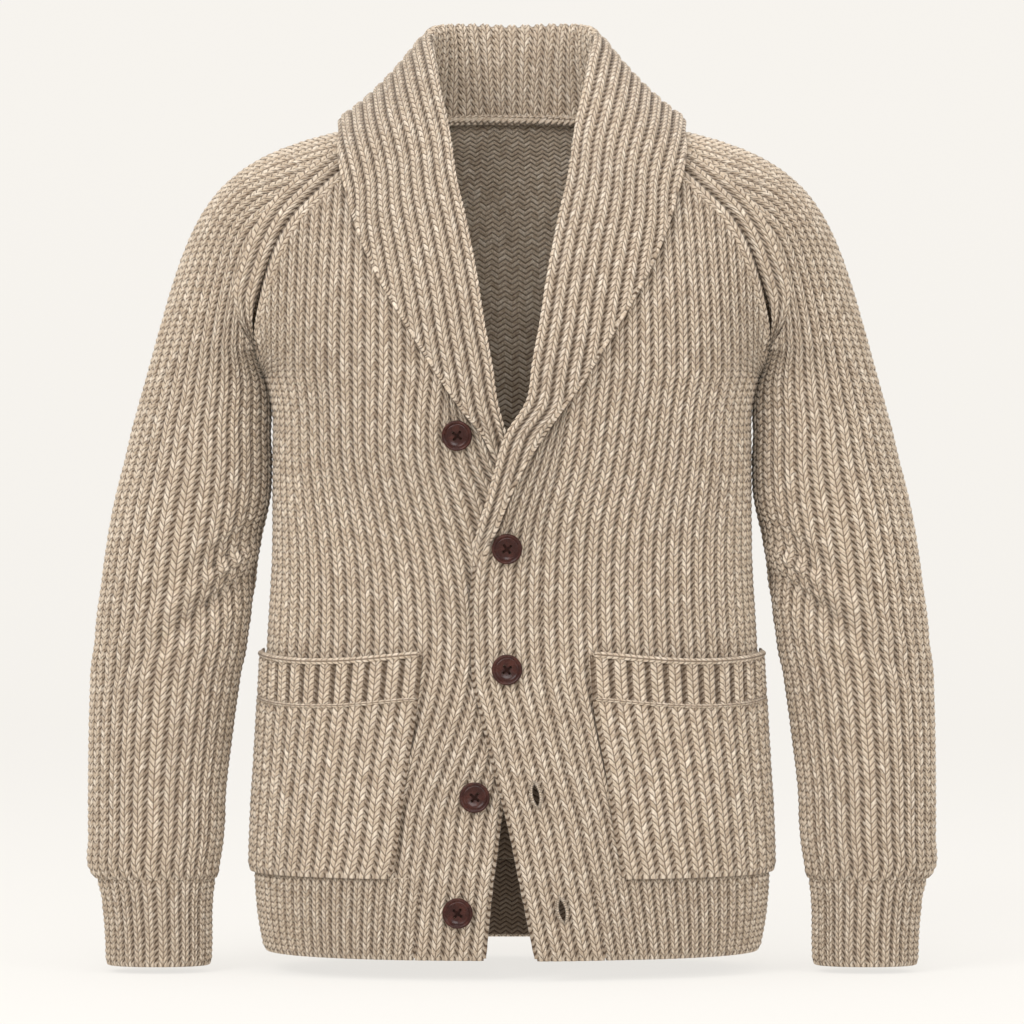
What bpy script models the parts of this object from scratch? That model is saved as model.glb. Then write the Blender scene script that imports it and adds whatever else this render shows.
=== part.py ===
"""Shawl collar cardigan in chunky rib knit, worn and filled out, with nobody in it.

Sizes are in millimetres, +Z up, and the front faces -Y. The origin is the middle of the
neck, level with the shoulder line. Each front is drawn on the -X side and the buttonhole
front is mirrored from there to +X.
"""

import math

import bpy
import numpy as np

MM = 0.001
WALL = 3.0  # knitted wall under the ribs
RIB = 1.6  # how far a rib stands out of its wall
SEAM = 0.8  # clear width of a seam between two pieces
ROUND = 2.4  # power of the body's oval sections: 2 is an ellipse
ARMHOLE_Z = -215.0
BODY_LOW = -636.0  # where the body meets the hem rib
HEM_LOW = -703.0
EYE_FAR = 4200.0  # tables marked "drawn" are widths and heights on the plane y = 0
EYE_Z = -330.0

# Body sections, a row each: height, half width, depth to the front, depth to the back
BODY = np.array(
    (
        (-716, 208, 119, 117),
        (-690, 214, 122, 120),
        (-661, 218, 123, 121),
        (-643, 219, 124, 121),
        (-588, 218, 122, 118),
        (-540, 215, 119, 114),
        (-492, 212, 116, 110),
        (-457, 209.5, 114.5, 107),
        (-432, 208, 114, 106),
        (-408, 206.5, 113.5, 106),
        (-372, 204.5, 114, 107),
        (-320, 204, 119, 113),
        (-283, 204, 123, 119),
        (-239, 205, 127, 125),
        (-215, 211, 128, 128),
        (-198, 221, 128, 129),
        (-180, 231, 127, 130),
        (-151, 239, 124, 130),
        (-126, 245, 118, 129),
        (-101, 251, 110, 125),
        (-79, 252, 101, 119),
        (-57, 238, 91, 111),
        (-35, 208, 80, 100),
        (-15, 167, 68, 87),
        (-2, 126, 60, 76),
        (12, 95, 52, 66),
    ),
    float,
)

# Raglan seams from the underarm to the neck: x, z
RAGLAN_FRONT = ((-211, -215), (-217, -198), (-219, -180), (-215, -151), (-208, -126), (-199, -101),
                (-187, -80), (-167, -59), (-144, -38), (-117, -19), (-90, -4))
RAGLAN_BACK = ((-211, -215), (-218, -197), (-222, -178), (-218, -150), (-211, -125), (-199, -98),
               (-180, -71), (-155, -46), (-125, -23), (-95, -5), (-62, 9))
NECK_SIDE = ((-90, -46, -4), (-97, -20, 2), (-98, 8, 6), (-87, 34, 8), (-62, 55, 9))

# Collar seam down each front, drawn: x, z. The rows below the collar are the free edge.
NECKLINE = ((-90, -4), (-89, -40), (-80, -88), (-66, -140), (-53, -190))
EDGE_TOP = ((-49, -192), (-33, -234), (-12, -266), (3, -297), (14, -325), (21, -345), (27, -362), (31.5, -377),
            (34, -398), (33.5, -452), (32, -478), (25, -506), (16, -545), (10, -569), (3.4, -593), (-3.4, -624),
            (-9.5, -656), (-15.5, -685), (-23, -722))
EDGE_UNDER = ((-49, -192), (-33, -234), (-14, -266), (-4, -288), (6, -303), (15, -316), (22, -335), (24, -361),
              (25, -455), (17, -503), (4, -545), (-9.5, -587), (-14, -621), (-18, -650), (-21, -679), (-25, -722))
BAND_TOP = ((-53, -192), (-48, -240), (-43, -277), (-38, -301), (-29, -337), (-26, -373), (-26, -452), (-28, -478),
            (-35, -506), (-44, -545), (-50, -569), (-57, -593), (-63, -624), (-69.5, -656), (-75, -685), (-82, -722))
BAND_UNDER = ((-53, -192), (-60, -240), (-60, -285), (-55, -309), (-49, -331), (-39, -373), (-34, -466), (-42, -503),
              (-56, -545), (-69.5, -587), (-74, -621), (-78, -650), (-81, -679), (-85, -722))
POCKET_EDGE = {
    "under": ((-76, -430), (-77, -447), (-81, -489), (-92, -562), (-98, -611), (-101, -630), (-107, -650)),
    "top": ((-66, -430), (-67, -449), (-70, -494), (-82, -561), (-88, -606), (-94, -638), (-97, -655)),
}

# How far the buttonhole front stands clear of the other one: height, clearance
OVERLAP = ((-720, 5), (-600, 7), (-400, 7.5), (-350, 10), (-318, 15), (-270, 15), (-225, 9), (-170, 2), (-120, 0), (20, 0))

# Sleeve sections: height, middle x, half width, middle y, half depth
SLEEVE = np.array(
    (
        (-642, -304, 51, -25, 35),
        (-632, -306, 54.5, -24, 38),
        (-612, -304.5, 56, -22, 40.5),
        (-564, -303.5, 57.5, -17, 43),
        (-528, -301.5, 59.5, -13, 45),
        (-492, -299, 61.5, -9, 47),
        (-468, -297, 63, -7, 49),
        (-444, -293, 64, -5, 51),
        (-420, -290.5, 64.5, -3, 53),
        (-395, -287, 64.5, -1, 55),
        (-371, -284, 64.5, 0, 57),
        (-320, -276.5, 63.5, 1, 60),
        (-285, -271, 61.5, 1, 60),
        (-255, -268, 59, 1, 60),
        (-228, -263.5, 56.5, 1, 60),
    ),
    float,
)
CUFF = np.array(
    (
        (-714, -301.5, 43.5, -28, 28),
        (-695, -301.5, 44, -27.5, 28.5),
        (-670, -302.5, 45, -26.5, 30),
        (-655, -303, 46.5, -26, 31.5),
        (-643, -304, 49, -25, 33.5),
    ),
    float,
)
RIBS = {"sleeve": 30, "cuff": 28, "front_top": 20, "front_under": 19, "band": 5, "back": 44, "hem_back": 52,
        "hem_front": 21, "pocket": 13}

# Collar stations from the middle of the back to the point: seam, fold and outer edge, then the way out
# at the fold, how far the fold rounds and how full the fall is. Fronts are drawn.
COLLAR_BACK = (
    ((0, 66, 11), (0, 76, 95), (0, 98, -12), (0, 1, 0), 10, 0.09),
    ((-32, 63, 10.5), (-38, 70, 95.5), (-52, 97, -12), (-0.2, 0.98, 0), 11, 0.09),
    ((-62, 55, 9.5), (-60, 53, 93), (-102, 86, -6), (-0.7, 0.7, 0), 11, 0.05),
    ((-87, 34, 8.5), (-70, 27, 87), (-133, 55, 4), (-0.94, 0.3, 0.0), 10, -0.05),
    ((-98, 8, 6.5), (-71, 3, 77), (-147, 12, 10), (-0.98, -0.05, 0.1), 9, -0.08),
    ((-97, -20, 2.5), (-67, -22, 58), (-147, -33, -3.5), (-0.9, -0.42, 0.1), 9, -0.04),
    ((-90, -46, -4), (-61.5, -43, 30), (-146, -71, -28), (-0.65, -0.74, 0.15), 9, 0.05),
)
# x at the seam, z at the seam, x and z at the fold, x and z at the outer edge, all drawn
LAPEL = (
    (-89, -40, -54, -3, -139, -61),
    (-85, -66, -49, -40, -130, -90),
    (-77, -100, -40, -81, -116, -122),
    (-66, -140, -31, -127, -96, -157),
    (-55, -176, -25, -166, -76, -189),
    (-42, -212, -18, -205, -57, -219),
    (-30, -238, -14, -234, -41, -242),
)
LAPEL_TOP = LAPEL + (
    (-12, -266, 5, -266, -25, -266),
    (2, -295, 14, -297, -8, -293),
    (13, -323, 22, -325, 6, -322),
    (20, -343, 28.5, -345, 14, -342),
    (26, -360, 33, -361, 21.5, -359),
    (30, -374, 35, -375, 26.5, -373),
)
LAPEL_UNDER = LAPEL + (
    (-14, -264, -6, -264, -24, -263),
    (-5, -286, 1, -287, -12, -285),
    (5, -302, 9.5, -304, 1, -301),
)

BUTTONS = (("button_1", "under", -47, -264), ("button_2", "top", 4.3, -361), ("button_3", "top", 4.3, -466),
           ("button_4", "under", -32, -576), ("button_5", "under", -46.5, -675))
BUTTONHOLES = ((-20.6, -573.5, 6.0), (-43, -672.5, 8.0))  # drawn x, z, and tilt in degrees
BUTTON_R = 12.8
BUTTON_PROFILE = ((0, 0.0), (BUTTON_R - 3.0, 0.0), (BUTTON_R, 2.2), (BUTTON_R - 0.9, 4.0), (BUTTON_R - 2.2, 4.4),
                  (BUTTON_R - 4.6, 3.0), (0, 2.5))


# ---------------------------------------------------------------- curves and tables


def spline(at, values, x):
    """A smooth curve through a table: values has a row for each place in at."""
    at = np.asarray(at, float)
    values = np.asarray(values, float)
    flat = values.ndim == 1
    if flat:
        values = values[:, None]
    slope = np.gradient(values, at, axis=0)
    x = np.clip(np.asarray(x, float), at[0], at[-1])
    i = np.clip(np.searchsorted(at, x, side="right") - 1, 0, len(at) - 2)
    step = at[i + 1] - at[i]
    t = ((x - at[i]) / step)[..., None]
    step = step[..., None]
    found = (
        (2 * t**3 - 3 * t**2 + 1) * values[i]
        + (t**3 - 2 * t**2 + t) * step * slope[i]
        + (3 * t**2 - 2 * t**3) * values[i + 1]
        + (t**3 - t**2) * step * slope[i + 1]
    )
    return found[..., 0] if flat else found


def along(points, share):
    """A point at this share of the way along a curve through points."""
    points = np.asarray(points, float)
    run = np.concatenate([[0], np.cumsum(np.linalg.norm(np.diff(points, axis=0), axis=1))])
    return spline(run / run[-1], points, share)


def unit(v):
    return v / np.maximum(np.linalg.norm(v, axis=-1, keepdims=True), 1e-9)


def ease(low, high, x):
    t = np.clip((np.asarray(x, float) - low) / (high - low), 0, 1)
    return t * t * (3 - 2 * t)


def drawn(x, z, y):
    """A point drawn on the plane y = 0, brought to its own depth."""
    k = (EYE_FAR + np.asarray(y, float)) / EYE_FAR
    return np.asarray(x, float) * k, EYE_Z + (np.asarray(z, float) - EYE_Z) * k


def by_height(rows, depth):
    """A drawn line (x, z) as a function from height to x."""
    table = np.array(sorted(rows, key=lambda row: row[1]), float)
    x, z = drawn(table[:, 0], table[:, 1], -depth)
    return lambda height: spline(z, x, height)


# ---------------------------------------------------------------- the body's form


def section(z):
    """Half width, front depth and back depth at a height."""
    found = spline(BODY[:, 0], BODY[:, 1:], z)
    return found[..., 0], found[..., 1], found[..., 2]


def body_y(x, z, back):
    width, front, rear = section(z)
    depth = rear if back else -front
    return depth * np.maximum(1 - (np.abs(x) / width) ** ROUND, 0) ** (1 / ROUND)


def body_normal(x, y, z):
    """The way out of the body's oval at a point on it."""
    width, front, rear = section(z)
    up, front_up, rear_up = (section(z + 0.5)[k] - section(z - 0.5)[k] for k in range(3))
    depth = np.where(y > 0, rear, front)
    depth_up = np.where(y > 0, rear_up, front_up)
    across = np.abs(x) / width
    deep = np.abs(y) / depth
    return unit(
        np.stack(
            [
                np.sign(x) * across ** (ROUND - 1) / width,
                np.sign(y) * deep ** (ROUND - 1) / depth,
                -(across**ROUND) * up / width - deep**ROUND * depth_up / depth,
            ],
            -1,
        )
    )


class HalfRing:
    """The front or the back half of each body section, measured along its curve from -X to +X."""

    LEVELS = np.linspace(-716, -190, 90)
    SHARES = np.linspace(0, 1, 161)

    def __init__(self, back):
        angle = np.linspace(0, math.pi, 1201)
        width, front, rear = section(self.LEVELS)
        depth = rear if back else -front
        power = 2 / ROUND
        x = -np.sign(np.cos(angle)) * np.abs(np.cos(angle)) ** power
        y = np.abs(np.sin(angle)) ** power
        self.x = np.empty((len(self.LEVELS), len(self.SHARES)))
        self.y = self.x.copy()
        self.length = np.empty(len(self.LEVELS))
        for k in range(len(self.LEVELS)):
            px = x * width[k]
            py = y * depth[k]
            run = np.concatenate([[0], np.cumsum(np.hypot(np.diff(px), np.diff(py)))])
            self.length[k] = run[-1]
            self.x[k] = np.interp(self.SHARES, run / run[-1], px)
            self.y[k] = np.interp(self.SHARES, run / run[-1], py)

    def place(self, share, z):
        """x and y at this share of the half ring."""
        row = np.clip(np.interp(z, self.LEVELS, np.arange(len(self.LEVELS))), 0, len(self.LEVELS) - 1.001)
        col = np.clip(share * (len(self.SHARES) - 1), 0, len(self.SHARES) - 1.001)
        i = row.astype(int)
        j = col.astype(int)
        a = row - i
        b = col - j
        found = []
        for grid in (self.x, self.y):
            low = grid[i, j] * (1 - b) + grid[i, j + 1] * b
            high = grid[i + 1, j] * (1 - b) + grid[i + 1, j + 1] * b
            found.append(low * (1 - a) + high * a)
        return found

    def share_of(self, line):
        """A line given as x by height, as a share of the half ring by height."""
        x = line(self.LEVELS)
        share = [np.interp(x[k], self.x[k], self.SHARES) for k in range(len(x))]
        return lambda height: np.interp(height, self.LEVELS, share)


FRONT = HalfRing(back=False)
BACK = HalfRing(back=True)


def overlap(x, z):
    """How far the buttonhole front is moved to the front, on its -X drawing."""
    table = np.array(OVERLAP, float)
    return spline(table[:, 0], table[:, 1], z) * ease(-100, -32, x)


def body_points(share, z, back=False, top=False):
    """Points of the body and their normals."""
    share, z = np.broadcast_arrays(np.asarray(share, float), np.asarray(z, float))
    x, y = (BACK if back else FRONT).place(share, z)
    return lifted(x, y, z, top)


def lifted(x, y, z, top):
    normal = body_normal(x, y, z)
    if top:
        y = y - overlap(x, z)
        normal = turned(normal, x, z)
    return np.stack([x, y, z], -1), normal


def turned(normal, x, z):
    """The way out of the buttonhole front, which leans where its clearance grows."""
    across = overlap(x + 0.5, z) - overlap(x - 0.5, z)
    up = overlap(x, z + 0.5) - overlap(x, z - 0.5)
    return unit(normal + normal[..., 1:2] * np.stack([across, 0 * across, up], -1))


RAGLAN_STITCHED = 24  # straight runs of a raglan seam, so that both its pieces follow one line
PANEL_COLUMNS = 32  # columns of a front, or of one side of the back, that end at the raglan seam
# How far up its seam each share of those columns ends
RAGLAN_FRONT_ENDS = ((0, 0), (0.05, 0.11), (0.105, 0.21), (0.21, 0.36), (0.353, 0.51), (0.505, 0.63), (0.642, 0.74),
                     (0.847, 0.89), (1, 1))
RAGLAN_BACK_ENDS = ((0, 0), (0.06, 0.12), (0.12, 0.22), (0.25, 0.38), (0.4, 0.53), (0.55, 0.66), (0.75, 0.82), (1, 1))


def raglan(share, back):
    """Points of a raglan seam, the way out of the cloth there, and the way from the body to the sleeve."""
    line = RAGLAN_BACK if back else RAGLAN_FRONT
    ends = np.array(RAGLAN_BACK_ENDS if back else RAGLAN_FRONT_ENDS, float)

    def place(q):
        x, z = np.moveaxis(along(line, spline(ends[:, 0], ends[:, 1], q)), -1, 0)
        return np.stack([x, body_y(x, z, back), z], -1)

    knots = np.linspace(0, 1, RAGLAN_STITCHED + 1)
    point = place(knots)
    run = unit(place(np.minimum(knots + 0.01, 1)) - place(np.maximum(knots - 0.01, 0)))
    sign = 1 if back else -1
    flat = np.where(point[..., 1:2] * sign < 0.5, 0.5 * sign, point[..., 1:2])
    normal = body_normal(point[..., 0], flat[..., 0], point[..., 2])
    away = unit(np.cross(normal, run))
    away = away * np.sign(-away[..., :1] + 1e-9)
    at = np.clip(np.asarray(share, float), 0, 1) * RAGLAN_STITCHED
    i = np.minimum(at.astype(int), RAGLAN_STITCHED - 1)
    t = (at - i)[..., None]
    return tuple(v[i] * (1 - t) + v[i + 1] * t for v in (point, normal, away))


# ---------------------------------------------------------------- making solids


def ridges(count, columns):
    """1 on a rib and 0 in a groove, for this many columns across this many ribs."""
    return 0.5 - 0.5 * np.cos(2 * math.pi * count * np.arange(columns) / (columns - 1))


def flattened(ribs, columns):
    """How much of each rib is left where its column ends: little at the underarm."""
    return 0.2 + 0.8 * ease(0.1, 0.35, np.linspace(0, 1, columns) * 2 * ribs / PANEL_COLUMNS)


def zip_rim(outer, inner, kept, faces):
    """Triangles between an outer rim and an inner rim that has only the points in kept."""
    for a, b, low, high in zip(kept, kept[1:], inner, inner[1:]):
        middle = (a + b) // 2
        faces.extend((outer[j], outer[j + 1], low) for j in range(a, middle))
        faces.append((outer[middle], high, low))
        faces.extend((outer[j], outer[j + 1], high) for j in range(middle, b))


def thinned(count, step, wrap):
    kept = list(range(0, count, step))
    if not wrap and kept[-1] != count - 1:
        kept.append(count - 1)
    return kept


def shell(name, outer, inner, material, wrap=False, steps=(2, 4), mirror=False):
    """A closed wall: the outer grid, a thinner inner grid, and the rims between them."""
    rows, columns = outer.shape[:2]
    r_kept = thinned(rows, steps[0], False)
    c_kept = thinned(columns, steps[1], wrap)
    small = inner[np.ix_(r_kept, c_kept)]
    points = np.concatenate([outer.reshape(-1, 3), small.reshape(-1, 3)])
    o = np.arange(rows * columns).reshape(rows, columns)
    n = (rows * columns + np.arange(small.shape[0] * small.shape[1])).reshape(small.shape[:2])
    if wrap:
        o = np.concatenate([o, o[:, :1]], 1)
        n = np.concatenate([n, n[:, :1]], 1)
        c_kept = c_kept + [columns]
    faces = []
    for grid, turn in ((o, 1), (n, -1)):
        quads = np.stack([grid[:-1, :-1], grid[:-1, 1:], grid[1:, 1:], grid[1:, :-1]], -1).reshape(-1, 4)
        for a, b, c, d in quads:
            pair = ((a, b, c), (a, c, d))
            faces.extend(pair if turn > 0 else [face[::-1] for face in pair])
    zip_rim(list(o[-1]), list(n[-1]), c_kept, faces)
    low = []
    zip_rim(list(o[0]), list(n[0]), c_kept, low)
    if not wrap:
        zip_rim(list(o[:, 0]), list(n[:, 0]), r_kept, faces)
        zip_rim(list(o[:, -1]), list(n[:, -1]), r_kept, low)
    faces.extend(face[::-1] for face in low)
    return solid(name, points, faces, material, mirror)


def solid(name, points, faces, material, mirror=False):
    points = np.array(points, float)
    faces = np.array([list(map(int, face)) for face in faces])
    used, faces = np.unique(faces, return_inverse=True)
    points = points[used]
    faces = faces.reshape(-1, 3)
    if mirror:
        points[:, 0] *= -1
    corners = points[faces]
    if np.einsum("ij,ij->", np.cross(corners[:, 0], corners[:, 1]), corners[:, 2]) < 0:
        faces = faces[:, ::-1]
    mesh = bpy.data.meshes.new(name)
    mesh.from_pydata((points * MM).tolist(), [], faces.tolist())
    mesh.materials.append(material)
    mesh.shade_smooth()
    mesh.set_sharp_from_angle(angle=math.radians(50))
    made = bpy.data.objects.new(name, mesh)
    bpy.context.scene.collection.objects.link(made)
    return made


def cloth(name, colour, rough, metal=0.0):
    made = bpy.data.materials.new(name)
    made.use_nodes = True
    shader = made.node_tree.nodes["Principled BSDF"]
    shader.inputs["Base Color"].default_value = (*colour, 1)
    shader.inputs["Roughness"].default_value = rough
    shader.inputs["Metallic"].default_value = metal
    return made


def wall(base, normal, raised, thick=WALL, out=0.0):
    """Outer and inner points of a wall whose grooves lie on base."""
    raised = np.asarray(raised)[..., None]
    return base + normal * (out + raised), base + normal * (out - thick)


def grid_normals(base, wrap):
    """The way out at each point of a grid, from its neighbours."""
    down = np.gradient(base, axis=0)
    if wrap:
        across = np.roll(base, -1, 1) - np.roll(base, 1, 1)
    else:
        across = np.gradient(base, axis=1)
    return unit(np.cross(across, down))


# ---------------------------------------------------------------- fronts


def front_tops(column, ribs):
    """Where each front column ends: on the raglan seam, then on the collar seam."""
    at_raglan = PANEL_COLUMNS / (2 * ribs)
    point, normal, away = raglan(np.minimum(column / at_raglan, 1), False)
    line = np.array(NECKLINE, float)
    deep = np.interp(line[:, 1], (-190, -140, -88, -40, -4), (-122, -118, -98, -72, 0))
    x, z = drawn(line[:, 0], line[:, 1], deep)
    x[0], z[0] = line[0]
    q = np.clip((column - at_raglan) / (1 - at_raglan), 0, 1)
    edge = along(np.stack([x, z], -1), q)
    neck = np.stack([edge[..., 0], body_y(edge[..., 0], edge[..., 1], False), edge[..., 1]], -1)
    at_neck = (column > at_raglan + 1e-6)[..., None]
    return np.where(at_neck, neck, point - away * SEAM / 2)


def front_panel(kind, ribs, rows):
    """Base points and normals of a front from its hem to its tops."""
    top = kind == "top"
    band = FRONT.share_of(by_height(BAND_TOP if top else BAND_UNDER, 122))
    column = np.linspace(0, 1, 2 * ribs + 1)
    ends = front_tops(column, ribs)
    low = BODY_LOW + SEAM / 2
    z = low + (ends[:, 2] - low) * rows[:, None]
    edge = 0.6 / FRONT.length[0]
    share = edge + column * (band(np.minimum(z, ARMHOLE_Z)) - 2 * edge)
    x, y = FRONT.place(share, np.minimum(z, ARMHOLE_Z))
    t = np.clip((z - ARMHOLE_Z) / np.maximum(ends[:, 2] - ARMHOLE_Z, 1e-6), 0, 1)
    above = z > ARMHOLE_Z
    x = np.where(above, x + (ends[:, 0] - x) * (t * t * (1.6 - 0.6 * t)), x)
    width = section(z)[0]
    x = np.maximum(x, -width * 0.9995)
    y = np.where(above, body_y(x, z, False), y)
    return lifted(x, y, z, top)


FRONT_ROWS = np.array((0, 0.1, 0.2, 0.3, 0.4, 0.5, 0.59, 0.68, 0.76, 0.84, 0.92, 1.0))


def make_front(kind, name, material):
    ribs = RIBS["front_" + kind]
    base, normal = front_panel(kind, ribs, FRONT_ROWS)
    raised = RIB * np.broadcast_to(ridges(ribs, base.shape[1]), base.shape[:2]).copy()
    raised[-1] *= flattened(ribs, base.shape[1])
    outer, inner = wall(base, normal, raised)
    shell(name, outer, inner, material, mirror=kind == "top")


def band_grid(kind, ribs, z):
    top = kind == "top"
    seam = FRONT.share_of(by_height(BAND_TOP if top else BAND_UNDER, 122))
    edge = FRONT.share_of(by_height(EDGE_TOP if top else EDGE_UNDER, 122))
    column = np.linspace(0, 1, 2 * ribs + 1)
    start = seam(z)[:, None] + SEAM / 2 / 520
    share = start + column * (edge(z)[:, None] - start)
    return body_points(share, z[:, None], top=top)


def make_band(kind, name, material):
    base, normal = band_grid(kind, RIBS["band"], band_rows())
    raised = RIB * np.broadcast_to(ridges(RIBS["band"], base.shape[1]), base.shape[:2])
    outer, inner = wall(base, normal, raised)
    return shell(name, outer, inner, material, mirror=kind == "top")


def hem_rows():
    return np.array((HEM_LOW, HEM_LOW + 4, -672, BODY_LOW - SEAM / 2))


def band_rows():
    """Heights of a band's rows, the same as the hem's and the front's beside it."""
    low = BODY_LOW + SEAM / 2
    top = front_tops(np.array((1.0,)), RIBS["front_top"])[0, 2]
    return np.concatenate([(HEM_LOW, HEM_LOW + 4, -685, -664), low + (top - low) * FRONT_ROWS])


def hem_raised(ribs, shape):
    raised = RIB * np.broadcast_to(ridges(ribs, shape[1]), shape).copy()
    raised[0] = 0.3
    return raised


def make_hem_front(kind, name, material):
    z = hem_rows()
    band = FRONT.share_of(by_height(BAND_TOP if kind == "top" else BAND_UNDER, 122))
    ribs = RIBS["hem_front"]
    column = np.linspace(0, 1, 2 * ribs + 1)
    edge = 0.6 / 520
    share = edge + column * (band(z)[:, None] - 2 * edge)
    base, normal = body_points(share, z[:, None], top=kind == "top")
    outer, inner = wall(base, normal, hem_raised(ribs, base.shape[:2]))
    shell(name, outer, inner, material, steps=(3, 4), mirror=kind == "top")


# ---------------------------------------------------------------- back


def back_tops(column, ribs):
    half = np.minimum(column, 1 - column)
    at_raglan = PANEL_COLUMNS / (2 * ribs)
    side = np.where(column < 0.5, 1.0, -1.0)[..., None] * np.array((1, 0, 0)) + np.array((0, 1, 1))
    point, normal, away = raglan(np.minimum(half / at_raglan, 1), True)
    q = np.clip((half - at_raglan) / (0.5 - at_raglan), 0, 1)
    x = -62 * (1 - q)
    z = 9 + 1.2 * ease(0, 1, q)
    neck = np.stack([x, body_y(x, z, True), z], -1)
    return np.where((half > at_raglan + 1e-6)[..., None], neck, point - away * SEAM / 2) * side


def back_panel(ribs, rows):
    column = np.linspace(0, 1, 2 * ribs + 1)
    ends = back_tops(column, ribs)
    low = BODY_LOW + SEAM / 2
    z = low + (ends[:, 2] - low) * rows[:, None]
    edge = 0.6 / 520
    share = edge + column * (1 - 2 * edge)
    share = np.broadcast_to(share, z.shape)
    x, y = BACK.place(share, np.minimum(z, ARMHOLE_Z))
    t = np.clip((z - ARMHOLE_Z) / np.maximum(ends[:, 2] - ARMHOLE_Z, 1e-6), 0, 1)
    above = z > ARMHOLE_Z
    x = np.where(above, x + (ends[:, 0] - x) * (t * t * (1.6 - 0.6 * t)), x)
    width = section(z)[0] * 0.9995
    x = np.clip(x, -width, width)
    y = np.where(above, body_y(x, z, True), y)
    return lifted(x, y, z, False)


def make_back(material, hem_material):
    rows = np.array((0, 0.14, 0.28, 0.42, 0.55, 0.67, 0.78, 0.89, 1.0))
    base, normal = back_panel(RIBS["back"], rows)
    raised = RIB * np.broadcast_to(ridges(RIBS["back"], base.shape[1]), base.shape[:2]).copy()
    sides = flattened(RIBS["back"], base.shape[1])
    raised[-1] *= np.minimum(sides, sides[::-1])
    outer, inner = wall(base, normal, raised)
    shell("back", outer, inner, material, steps=(1, 4))
    z = hem_rows()
    column = np.linspace(0, 1, 2 * RIBS["hem_back"] + 1)
    edge = 0.6 / 520
    base, normal = body_points(edge + column * (1 - 2 * edge), z[:, None], back=True)
    outer, inner = wall(base, normal, hem_raised(RIBS["hem_back"], base.shape[:2]))
    shell("hem_back", outer, inner, hem_material, steps=(3, 4))


# ---------------------------------------------------------------- sleeves


LOOP_FRONT = 12 / 30  # share of the sleeve's ribs that end at the front raglan seam, and again at the back
UNDERARM_OVER = 2.2  # how far outside the body's seam the sleeve ends at the underarm, where it folds down
SLEEVE_LOW_HEAD = -335.0  # where the sleeve's head begins
# Share of the way up the raglan seams, then how far along the shoulder line that section passes, and its fullness
SLEEVE_HEAD = np.array(
    (
        (0.0, 0.05, 60),
        (0.03, 0.12, 40),
        (0.06, 0.18, 26),
        (0.125, 0.3, 9),
        (0.25, 0.48, 1),
        (0.5, 0.7, -1),
        (0.75, 0.845, -2),
        (1.0, 1.0, 0),
    ),
    float,
)
SHOULDER_START = np.array((-324, 1, -255.0))
SHOULDER_END = np.array((-98, 8, 6.0))
SHOULDER_AWAY = np.array((160, 0, 548.0))
SHOULDER_INTO = np.array((556, 0, 90.0))


def shoulder_line(t):
    """The outer line of the sleeve from below the shoulder to the neck."""
    t = np.asarray(t, float)[..., None]
    return (
        (2 * t**3 - 3 * t**2 + 1) * SHOULDER_START
        + (t**3 - 2 * t**2 + t) * SHOULDER_AWAY
        + (3 * t**2 - 2 * t**3) * SHOULDER_END
        + (t**3 - t**2) * SHOULDER_INTO
    )


def sleeve_ends(s):
    """Where the sleeve meets both raglan seams at this share of the way up them."""
    low = (1 - ease(0, 0.4, s))[..., None]
    found = []
    for back in (False, True):
        point, normal, away = raglan(s, back)
        found.append(point + away * SEAM * 0.8 + normal * UNDERARM_OVER * low)
    return found


def head_points(f, s):
    """Points of the sleeve's head: each column f runs up until it meets a raglan seam or the neck."""
    w = (f - LOOP_FRONT * s) / (1 - 2 * LOOP_FRONT * s)
    front, back = sleeve_ends(s)
    found = spline(SLEEVE_HEAD[:, 0], SLEEVE_HEAD[:, 1:], s)
    middle = (front + back) / 2
    low = 1 - ease(0, 0.3, s)
    rise = low * np.sin(math.pi * w) ** 2 + (1 - low) * np.sin(math.pi * w)
    points = middle + (front - middle) * np.cos(math.pi * w)[..., None]
    points = points + (shoulder_line(found[..., 0]) - middle) * rise[..., None]
    points[..., 1] -= found[..., 1] * np.sin(2 * math.pi * w)
    at_neck = ease(0.8, 1, s)[..., None]
    return points * (1 - at_neck) + along(NECK_SIDE, np.clip(w, 0, 1)) * at_neck


def oval(table, z, f):
    """Points of a sleeve section: f is 0 at the body, 0.25 at the front and 0.5 outside."""
    found = spline(table[:, 0], table[:, 1:], z)
    angle = 2 * math.pi * f
    c = np.cos(angle)
    s = np.sin(angle)
    power = 2 / 2.15
    x = found[..., 0] + found[..., 1] * np.sign(c) * np.abs(c) ** power
    y = found[..., 2] - found[..., 3] * np.sign(s) * np.abs(s) ** power
    return np.stack([x, y, np.broadcast_to(z, x.shape)], -1)


def elbow_creases(x, y, z, f):
    """Depth of the folds at the elbow, mostly on the front and the inner side."""
    front = np.exp(-(((f - 0.19) / 0.16) ** 2))
    lean = z - 0.7 * (x + 285)
    fold = np.exp(-(((lean + 428) / 13) ** 2)) * 5.0
    fold = fold + np.exp(-(((lean + 392) / 12) ** 2)) * 3.2
    fold = fold - np.exp(-(((lean + 411) / 10) ** 2)) * 1.5
    return fold * front


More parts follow.
